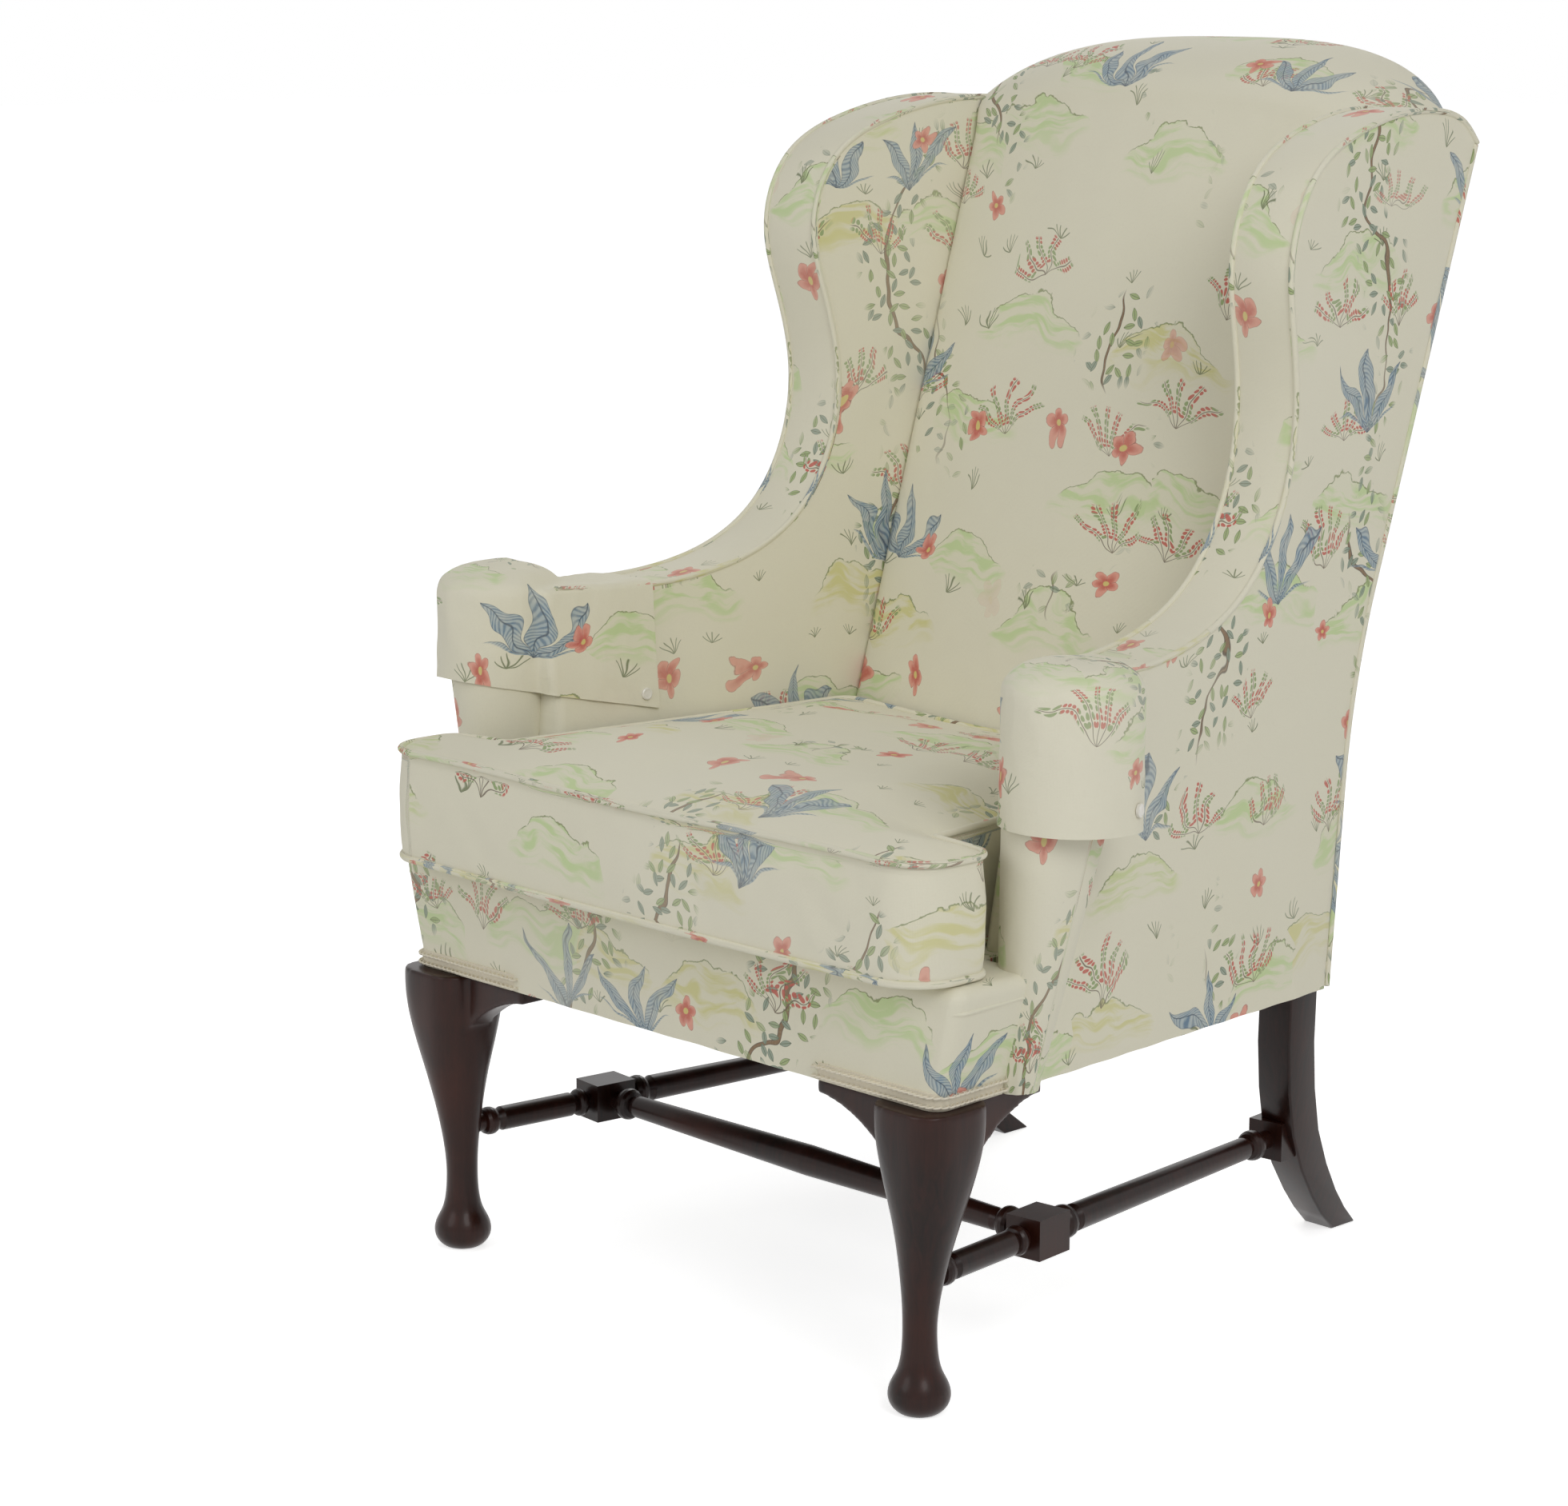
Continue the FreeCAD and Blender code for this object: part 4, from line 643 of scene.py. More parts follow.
def back_piece():
    """The padding between the wings; over them only its crest runs on to both sides, as two ears."""
    wide, ears = 249.0, 290.0
    half = np.concatenate([wide * np.sin(np.linspace(0, math.pi / 2, 30)), np.linspace(wide, ears, 12)[1:]])
    across = np.concatenate([-half[:0:-1], half])
    curl = np.sin(np.linspace(0, math.pi / 2, 16))
    front_rows, rear_rows = 90, 39
    crest_end = front_rows - 1 + 2 * (len(curl) - 1)
    points, uv, index = [], [], {}
    for column, x in enumerate(across):
        top = float(crest_height(x))
        shelf = min(1112.5, top - 4)
        low, over = np.linspace(368, shelf, front_rows), shelf + (top - shelf) * curl
        front_z = np.concatenate([low, over[1:]])
        rear_z = np.concatenate([over[-2::-1], low[-2::-1][:rear_rows]])
        depth = np.concatenate([back_section(x, front_z, False), back_section(x, rear_z, True)])
        z = np.concatenate([front_z, rear_z])
        tuck = rolled_edge(max(wide - abs(x), 0), 16)
        depth[:front_rows] += tuck * smoothstep(shelf - low, 0, 26)
        fade = 1 - abs(x) / 260 if abs(x) < 250 else 0
        depth[:front_rows] -= ripple(points_of(x, low), 240, 3, 1.0) * fade
        length = lengths(points_of(depth, z))
        for row in range(len(z)):
            if abs(x) <= wide or front_rows - 1 <= row <= crest_end:
                index[(row, column)] = len(points)
                points.append((x, depth[row], z[row]))
                uv.append((x + 310, length[row] + 380))
    work = bmesh.new()
    verts = [work.verts.new(tuple(point)) for point in to_metres(points)]
    for row in range(len(z) - 1):
        for column in range(len(across) - 1):
            corners = [index.get((row + down, column + along))
                       for down, along in ((0, 0), (0, 1), (1, 1), (1, 0))]
            if None not in corners:
                work.faces.new([verts[corner] for corner in corners])
    bmesh.ops.holes_fill(work, edges=[edge for edge in work.edges if edge.is_boundary], sides=0)
    mesh = bpy.data.meshes.new("inside_back_cover")
    work.to_mesh(mesh)
    work.free()
    set_cloth_map(mesh, np.array(uv) / 1000)
    piece = add_object("inside_back_cover", mesh)
    tidy_mesh(mesh, 60)
    claim(piece, "chair", ["inside_back"])


def outside_back():
    """Plain cover of the back between the two rear edges, under the crest's arch."""
    share = np.linspace(0, 1, 110)
    front, back, uv = [], [], []
    for x in np.linspace(-312, 312, 80):
        arch = float(crest_height(min(abs(x), 280))) - 16
        top = min(arch, WING_REAR[1]) if abs(x) > 276 else arch
        z = SEAT_BOTTOM + (top - SEAT_BOTTOM) * share
        depth = rear_depth(z)
        edge = np.minimum(313 - abs(x), np.minimum(z - SEAT_BOTTOM, top - z))
        bulge = 2.0 * (1 - np.exp(-edge / 40)) - rolled_edge(np.maximum(edge, 0), 4)
        front.append(points_of(x, depth + bulge, z))
        back.append(points_of(x, depth - 5, z))
        uv.append(points_of(x + 120, z + 60))
    sheet_solid("outside_back_cover", np.array(front), np.array(back), np.array(uv), "outside_back")


# Seat border, deck and underside

def border_path(z, inset):
    """Plan of the front border at a height: along one return, round the corner, the front and back again."""
    half = BORDER_HALF + BORDER_FLARE * (z - SEAT_BOTTOM) / BORDER_TALL - inset
    lean = BORDER_HALF - float(outer_x_at(100, SEAT_BOTTOM))
    radius = max(2.0, BORDER_RADIUS - inset)
    corner = inset + radius
    right = [(half - lean, BORDER_END)]
    right += [(half - lean * (1 - t), BORDER_END * (1 - t) + corner * t) for t in np.linspace(0.1, 1, 14)]
    right += [(half - radius + radius * math.cos(a), corner - radius * math.sin(a))
              for a in np.linspace(0.1, math.pi / 2, 12)]
    right += [(x, inset) for x in np.linspace(half - radius, 0, 60)[1:]]
    right = np.array(right)
    return np.concatenate([right, right[-2::-1] * np.array([-1, 1])])


def front_border():
    """Cloth over the seat's front, puckered at its lower edge and drawn in over the deck at its top."""
    shoulder, bend = 383, 12.6
    profile = [(z, 0.0) for z in np.linspace(SEAT_BOTTOM, shoulder, 26)]
    profile += [(shoulder + bend * math.sin(a), bend * (1 - math.cos(a)))
                for a in np.linspace(0.15, math.pi / 2, 9)]
    profile += [(shoulder + bend, inset) for inset in (20, 32, 48, 66, 84)]
    run = lengths(border_path(SEAT_BOTTOM, 0.0))
    outer, inner, uv = [], [], []
    for z, inset in profile:
        path = border_path(z, inset)
        across = path[:, 0]
        upright = inset < 1
        swell = 1.5 * math.sin(math.pi * (z - SEAT_BOTTOM) / BORDER_TALL) * upright
        wave = 0.9 * np.sin(run / 11.0) * math.exp(-(z - SEAT_BOTTOM) / 16)
        wave += ripple(path, 150, 8, 0.7) * upright
        push = points_of(np.sign(across) * (np.abs(across) > 330), -(np.abs(across) <= 345).astype(float))
        outer.append(points_of(*(path + push * (swell + wave)[:, None] * 0.6).T, z))
        deep = border_path(z, inset + (9 if z < 380 else 1))
        low = z if z < 380 else 372 + (z - 380) * 0.4
        inner.append(points_of(*deep.T, min(low, z - 1.5) if z > SEAT_BOTTOM else z))
        uv.append(points_of(run + 40, z + inset))
    piece = sheet_solid("front_border_cover", np.array(outer), np.array(inner), np.array(uv), "front_border")


def seat_deck():
    """Cloth over the seat's own padding, which the cushion lies on."""
    depth = np.linspace(BORDER_END, 456, 30)[:, None]
    x = (outer_x(depth, 390) - SIDE_THICK + np.where(depth > 150, 2, 26)) * np.linspace(-1, 1, 40)
    piece = sheet_solid("deck_cloth", points_of(x, depth, 395.4), points_of(x, depth, 368.0),
                        points_of(x, depth), "seat_deck")


def underside():
    """Thin cloth tacked under the seat frame, sagging a little in the middle."""
    depth, share = np.linspace(16, 566, 40)[:, None], np.linspace(-1, 1, 40)
    x = (outer_x_at(depth, SEAT_BOTTOM) - 13) * share
    sag = 3.0 * np.cos(share * math.pi / 2) * np.sin(math.pi * (depth - 16) / 550)
    sheet_solid("underside_cloth", points_of(x, depth, 287 - sag), points_of(x, depth, 285.6 - sag),
                points_of(x, depth), "dust_cover", slot="canvas")


# Loose cushion

def cushion_outline(grow):
    """(depth, half width) of the T cushion: rounded front, ears before the arms, neck between them."""
    front, ear_rear, last = -36 - grow, 60 + grow, 452
    ear, neck_front, neck_rear = 366 + grow, 292 + grow, 240 + grow
    corner, ear_corner, neck_corner = 44, 22, 18
    rows = [(front + corner * (1 - math.cos(a)), ear - corner + corner * math.sin(a))
            for a in np.linspace(0, math.pi / 2, 14)]
    rows += [(d, ear) for d in np.linspace(front + corner, ear_rear - ear_corner, 10)[1:]]
    rows += [(ear_rear - ear_corner + ear_corner * math.sin(a), ear - ear_corner * (1 - math.cos(a)))
             for a in np.linspace(0, math.pi / 2, 8)[1:]]
    rows += [(ear_rear + 0.4 + 3 * t, ear - ear_corner - (ear - ear_corner - neck_front) * t)
             for t in np.linspace(0.1, 1, 8)]
    rows += [(d, neck_front - (neck_front - neck_rear) * (d - ear_rear) / (last - ear_rear))
             for d in np.linspace(ear_rear + 5, last - neck_corner, 46)]
    rows += [(last - neck_corner + neck_corner * math.sin(a), neck_rear + 2 - neck_corner * (1 - math.cos(a)))
             for a in np.linspace(0, math.pi / 2, 8)[1:]]
    return np.array(rows)


def cushion():
    """Feather cushion: full in the middle, sunk and puckered along its welts, bellied at its sides."""
    shape = cushion_outline(-2.5)
    rows, columns = len(shape), 90
    even = np.linspace(-1, 1, columns)
    share = np.sin(even * math.pi / 2) * 0.45 + even * 0.55
    plan = points_of(shape[:, 1:] * share, shape[:, :1])
    bow = -6 * (1 - (plan[..., 0] / 330) ** 2) * (1 - smoothstep(plan[..., 1], -36, 60))
    hollow = 16 * (1 - np.clip(np.abs(plan[..., 0]) / 240, 0, 1) ** 2) * smoothstep(plan[..., 1], 330, 452)
    plan[..., 1] += bow - hollow * 0.9
    rim = grid_rim(rows, columns)
    edge = np.array([plan[spot] for spot in rim])
    away = distance_to(plan, ring_closed(edge))
    swell = 25.0 * (1 - (1 - np.clip(away / 185, 0, 1)) ** 2.1)
    swell += ripple(plan, 34, 11, 0.5) * np.exp(-away / 22) * smoothstep(away, 3, 12)
    swell += ripple(plan, 190, 21, 2.0) * smoothstep(away, 20, 120) + 2.2 * (1 - np.exp(-away / 12))
    sag = -1.6 * np.cos(plan[..., 0] / 70.0) * np.exp(-away / 30)
    lean = 24 * smoothstep(plan[..., 1], 380, 452)
    tops = points_of(plan[..., 0], plan[..., 1] + lean * 0.9, np.minimum(CUSHION_EDGE + swell + sag, 530))
    lows = points_of(plan[..., 0], plan[..., 1] - lean * 0.25, CUSHION_LOW + 0.2)
    tops, lows, count = tops.reshape(-1, 3), lows.reshape(-1, 3), rows * columns
    points = [*tops, *lows]
    uv = [(x + 300, depth + 470) for x, depth in plan.reshape(-1, 2)] * 2
    faces = grid_faces(rows, columns) + [face[::-1] for face in grid_faces(rows, columns, count)]
    rim = [row * columns + column for row, column in rim]
    rim_top, rim_low = tops[rim], lows[rim]
    outward = np.roll(edge, -1, axis=0) - np.roll(edge, 1, axis=0)
    outward = points_of(outward[:, 1], -outward[:, 0], 0)
    outward /= np.linalg.norm(outward, axis=1)[:, None] + 1e-9
    run = lengths(edge)
    loops, layers = [rim], 12
    for t in np.arange(1, layers) / layers:
        fullness = math.sin(math.pi * t)
        strip = points_of(run, t * 110)
        wave = (ripple(strip, 120, 4, 1.1) + ripple(strip * np.array([1, 0.4]), 34, 6, 0.45)) * fullness
        ring = rim_top + (rim_low - rim_top) * t + outward * (4.0 * fullness ** 0.8 + wave)[:, None] * 0.8
        loops.append(list(range(len(points), len(points) + len(ring))))
        points += [*ring]
        uv += [(along - 22, spot[2]) for spot, along in zip(ring, run)]
    loops.append([count + spot for spot in rim])
    for upper, lower in zip(loops, loops[1:]):
        for here in range(len(upper)):
            after = (here + 1) % len(upper)
            faces.append((upper[here], upper[after], lower[after], lower[here]))
    piece = new_piece("cushion_cover", to_metres(points), faces, "cushion", np.array(uv) / 1000,
                      ["seat_cushion"], sharp=55)
    for name, seam, rise, shift in (("top", rim_top, 0.6, 0.2), ("low", rim_low, 3.4, 0.45)):
        path = ring_closed(seam + outward * 1.2 + np.array([0, 0, rise]))
        welt("cushion_welt_" + name, path, "cushion", 3.4, shift, closed=True)


def ring_closed(ring):
    """A ring of points with its first one again at the end."""
    return np.concatenate([ring, ring[:1]])


# Braid over the border's lower edge, made by a node tree that sets small loops along a path

def gimp_tree(material):
    """Loops of thread along a path, each tilted a little as the braid twists them."""
    tree = bpy.data.node_groups.new("gimp_braid", "GeometryNodeTree")
    tree.interface.new_socket("Geometry", in_out="INPUT", socket_type="NodeSocketGeometry")
    tree.interface.new_socket("Geometry", in_out="OUTPUT", socket_type="NodeSocketGeometry")
    sizes = {"Loop spacing": LOOP_SPACING, "Loop radius": LOOP_RADIUS, "Thread radius": THREAD_RADIUS}
    for name, value in sizes.items():
        socket = tree.interface.new_socket(name, in_out="INPUT", socket_type="NodeSocketFloat")
        socket.default_value = value
    start, end = add_node(tree, "NodeGroupInput"), add_node(tree, "NodeGroupOutput")
    spread = add_node(tree, "GeometryNodeCurveToPoints",
                      {"Curve": start.outputs[0], "Length": start.outputs["Loop spacing"]}, mode="LENGTH")
    ring = add_node(tree, "GeometryNodeCurvePrimitiveCircle",
                    {"Radius": start.outputs["Loop radius"], "Resolution": 10}, mode="RADIUS")
    thread = add_node(tree, "GeometryNodeCurvePrimitiveCircle",
                      {"Radius": start.outputs["Thread radius"], "Resolution": 5}, mode="RADIUS")
    loop = add_node(tree, "GeometryNodeCurveToMesh",
                    {"Curve": ring.outputs[0], "Profile Curve": thread.outputs[0]})
    placed = add_node(tree, "GeometryNodeInstanceOnPoints",
                      {"Points": spread.outputs["Points"], "Instance": loop.outputs[0],
                       "Rotation": spread.outputs["Rotation"]})
    tilt = add_node(tree, "GeometryNodeRotateInstances",
                    {"Instances": placed.outputs[0], "Rotation": (1.4, 0.5, 0.0)})
    real = add_node(tree, "GeometryNodeRealizeInstances", {"Geometry": tilt.outputs[0]})
    painted = add_node(tree, "GeometryNodeSetMaterial", {"Geometry": real.outputs[0], "Material": material})
    tree.links.new(painted.outputs[0], end.inputs[0])
    return tree


def gimp_path(inset, trim=0):
    """Plan of the braid round one corner of the border, evenly spaced."""
    path = border_path(SEAT_BOTTOM + 8, inset)
    return evenly(path[(path[:, 0] > 206 + trim) & (path[:, 1] < 88 - trim)], 4.0)


def gimp(side, tree):
    """Two rows of loops on a flat tape, over the lower edge of the border round its corner."""
    face, inner = gimp_path(-1.6), gimp_path(0.2)
    count = min(len(face), len(inner))
    z = np.linspace(SEAT_BOTTOM + 0.5, SEAT_BOTTOM + 16.5, 7)[:, None]
    sheet_solid("gimp_tape", points_of(*face[:count].T, z), points_of(*inner[:count].T, z),
                points_of(np.arange(count) * 4.0, z), "gimp", side, slot="braid")
    loops = bmesh.new()
    for z in (SEAT_BOTTOM + 4.2, SEAT_BOTTOM + 12.8):
        curve = bpy.data.curves.new("gimp_path", "CURVE")
        curve.dimensions = "3D"
        line = curve.splines.new("POLY")
        spots = to_metres(flipped(points_of(*gimp_path(-2.2, 1).T, z), side))
        line.points.add(len(spots) - 1)
        for point, spot in zip(line.points, spots):
            point.co = (*spot, 1)
        holder = add_object("gimp_path", curve)
        holder.modifiers.new("braid", "NODES").node_group = tree
        loops.from_mesh(plain_mesh(holder))
        bpy.data.objects.remove(holder)
    mesh = bpy.data.meshes.new("gimp_loops_" + side)
    loops.to_mesh(mesh)
    loops.free()
    shade_smooth(mesh)
    claim(add_object("gimp_loops_" + side, mesh), "chair")


# Wooden legs

# (z, radius) up the pad foot and ankle, then (share of the height, radius, lean) up to the knee
PAD_FOOT = [(0, 17.5), (2, 20.5), (7, 25.5), (13, 28.2), (19, 28.6), (25, 27.2), (31, 24.4), (37, 21.2),
            (44, 18.8), (52, 17.2), (62, 16.2)]
KNEE = [(0.28, 15.8, 0.0), (0.36, 17.3, 0.1), (0.44, 20.4, 0.25), (0.52, 24.5, 0.45), (0.6, 29.5, 0.65),
        (0.68, 34.5, 0.8), (0.76, 38.6, 0.92), (0.84, 41.6, 1.0), (0.92, 43.2, 1.0), (1, 43.0, 1.0)]
LEG_X, LEG_DEPTH, LEG_FIT = 318, 20, 0.985


def cabriole(side):
    """Front leg through smooth rounds that grow squarer towards the knee, one with its two brackets."""
    knots = [(height, radius, 0.0) for height, radius in PAD_FOOT]
    knots += [(SEAT_BOTTOM * up, radius, lean) for up, radius, lean in KNEE]
    turn = np.linspace(0, 2 * math.pi, 64, endpoint=False)
    rings = []
    for z, radius, lean in smooth_curve(knots, 150):
        square = 2 + 1.3 * float(smoothstep(z, 170, SEAT_BOTTOM))
        stretch = (np.abs(np.cos(turn)) ** square + np.abs(np.sin(turn)) ** square) ** (-1 / square)
        rings.append(circle(LEG_X + 9 * lean, LEG_DEPTH + lean, radius * stretch * LEG_FIT, turn, z))
    leg = bpy.data.meshes.new("leg")
    leg.from_pydata([tuple(point) for point in to_metres(flipped(rings, side)).reshape(-1, 3)], [],
                    ring_faces(len(rings), len(turn)))
    nodes = ["%s_%s" % (part, side) for part in ("front_leg", "knee_bracket_front", "knee_bracket_side")]
    brackets = [bpy.data.objects[node].data for node in nodes[1:]]
    name = "front_leg_polished_" + side
    skin = melted(merged([leg, *brackets], name), LEG_VOXEL, 7)
    shade_smooth(skin)
    claim(add_object(name, skin), "chair", nodes)


def rear_leg(side):
    """A copy of the square rear leg with its edges eased, as a plane leaves them."""
    name, node = "rear_leg_polished_" + side, "rear_leg_" + side
    work = bmesh.new()
    work.from_mesh(bpy.data.objects[node].data)
    bmesh.ops.remove_doubles(work, verts=work.verts, dist=1e-5)
    bmesh.ops.dissolve_limit(work, angle_limit=math.radians(1.0), verts=work.verts, edges=work.edges)
    bmesh.ops.recalc_face_normals(work, faces=work.faces)
    sharp = [edge for edge in work.edges
             if len(edge.link_faces) == 2 and edge.calc_face_angle(0) > math.radians(40)]
    bmesh.ops.bevel(work, geom=sharp, offset=LEG_EASE, segments=3, profile=0.5, affect="EDGES",
                    clamp_overlap=True)
    mesh = bpy.data.meshes.new(name)
    work.to_mesh(mesh)
    work.free()
    shade_smooth(mesh, 35)
    claim(add_object(name, mesh), "chair", [node])


# Finishes

def linear(code):
    """An sRGB hex colour as linear numbers."""
    channels = [int(code[i:i + 2], 16) / 255 for i in (0, 2, 4)]
    return tuple(c / 12.92 if c <= 0.04045 else ((c + 0.055) / 1.055) ** 2.4 for c in channels) + (1.0,)


def add_node(tree, kind, inputs=None, **settings):
    """Adds a node with its settings; each input is a value, a hex colour or a socket to link."""
    node = tree.nodes.new(kind)
    for key, value in settings.items():
        setattr(node, key, value)
    for key, value in (inputs or {}).items():
        if isinstance(value, bpy.types.NodeSocket):
            tree.links.new(value, node.inputs[key])
        else:
            node.inputs[key].default_value = linear(value) if isinstance(value, str) else value
    return node


class Value:
    """A number in a node tree: arithmetic on it adds the math nodes that work it out."""

    def __init__(self, tree, socket):
        self.tree, self.socket = tree, socket

    def math(self, operation, *others):
        """One step of arithmetic, on this number and on others that are numbers or values too."""
        values = [self.socket] + [other.socket if isinstance(other, Value) else other for other in others]
        node = add_node(self.tree, "ShaderNodeMath", dict(enumerate(values)), operation=operation)
        return Value(self.tree, node.outputs[0])

    def __add__(self, other):
        return self.math("ADD", other)

    def __sub__(self, other):
        return self.math("SUBTRACT", other)

    def __mul__(self, other):
        return self.math("MULTIPLY", other)

    def __truediv__(self, other):
        return self.math("DIVIDE", other)

    def below(self, edge, soft):
        """1 under the edge and 0 over it, with a soft step between."""
        start = (self * -1.0 + edge) / soft if isinstance(edge, float) else (edge - self) / soft
        return (start + 0.5).math("MAXIMUM", 0.0).math("MINIMUM", 1.0)

    def above(self, edge, soft):
        """1 over the edge and 0 under it."""
        return self.below(edge, soft) * -1.0 + 1.0

    def size(self):
        """The number without its sign."""
        return self.math("ABSOLUTE")


def finish_material(name, tree_maker, **surface):
    """A material with one Principled surface; the maker fills its tree and gives the linked inputs."""
    material = bpy.data.materials.new(name)
    material.use_nodes = True
    tree = material.node_tree
    shader = tree.nodes["Principled BSDF"]
    for key, value in surface.items():
        shader.inputs[key.replace("_", " ")].default_value = value
    for key, socket in tree_maker(tree).items():
        tree.links.new(socket, shader.inputs[key])
    return material


def laid_over(tree, base, colour, mask):
    """A base colour with another one laid over it where the mask is 1."""
    return add_node(tree, "ShaderNodeMix", {0: mask.socket, 6: base, 7: colour}, data_type="RGBA").outputs[2]


def plain_cloth(colour_one, colour_two, thread_mm):
    """Plain woven cloth: crossed threads of one spacing and a faint mottling."""
    def maker(tree):
        place = add_node(tree, "ShaderNodeTexCoord").outputs["Object"]
        split = add_node(tree, "ShaderNodeSeparateXYZ", {0: place})
        pitch = 2000 * math.pi / thread_mm
        x, y, z = (Value(tree, split.outputs[axis]) for axis in range(3))
        weave = ((x + y) * pitch).math("SINE") * 0.25 + ((z + y * 0.7) * pitch).math("SINE") * 0.25 + 0.5
        mottle = add_node(tree, "ShaderNodeTexNoise", {"Vector": place, "Scale": 30.0, "Detail": 4.0})
        shade = (weave + Value(tree, mottle.outputs[0])) * 0.5
        bump = add_node(tree, "ShaderNodeBump", {"Strength": 0.35, "Distance": 0.0006,
                                                 "Height": weave.socket})
        return {"Base Color": laid_over(tree, colour_one, colour_two, shade), "Normal": bump.outputs[0]}
    return maker


def mahogany(tree):
    """Very dark red-brown with a long faint grain up the leg, worn a little lighter in patches."""
    place = add_node(tree, "ShaderNodeTexCoord").outputs["Object"]
    drawn_out = add_node(tree, "ShaderNodeMapping", {"Vector": place, "Scale": (34.0, 34.0, 2.6)})
    grain = add_node(tree, "ShaderNodeTexNoise", {"Vector": drawn_out.outputs[0], "Scale": 4.0, "Detail": 8.0,
                                                  "Roughness": 0.62, "Distortion": 0.6}).outputs[0]
    wear = add_node(tree, "ShaderNodeTexNoise", {"Vector": place, "Scale": 9.0, "Detail": 5.0})
    dark = add_node(tree, "ShaderNodeValToRGB", {"Fac": grain})
    for stop, position, colour in zip(dark.color_ramp.elements, (0.3, 0.72), ("120805", "2C130D")):
        stop.position, stop.color = position, linear(colour)
    patches = Value(tree, wear.outputs[0])
    colour = laid_over(tree, dark.outputs[0], "482115", patches.above(0.6, 0.3) * 0.5)
    rough = (patches * 0.16 + Value(tree, grain) * 0.06 + 0.22).socket
    bump = add_node(tree, "ShaderNodeBump", {"Strength": 0.12, "Distance": 0.0005, "Height": grain})
    return {"Base Color": colour, "Roughness": rough, "Normal": bump.outputs[0]}


def mottled(colour_one, colour_two, scale, detail):
    """One colour clouded with another."""
    def maker(tree):
        place = add_node(tree, "ShaderNodeTexCoord").outputs["Object"]
        cloud = add_node(tree, "ShaderNodeTexNoise", {"Vector": place, "Scale": scale, "Detail": detail})
        return {"Base Color": laid_over(tree, colour_one, colour_two, Value(tree, cloud.outputs[0]))}
    return maker


def turned(x, y, angle):
    """A place on the cloth in axes that are turned by an angle."""
    cos, sin = angle.math("COSINE"), angle.math("SINE")
    return x * cos + y * sin, y * cos - x * sin


def polar(x, y):
    """Distance from a motif's root and the turn from upright."""
    return (x * x + y * y).math("SQRT"), x.math("ARCTAN2", y)


# Turn of the thread pattern per millimetre: threads 0.9 mm apart, twice the real spacing, so that they show
THREAD_TURN = 6.9


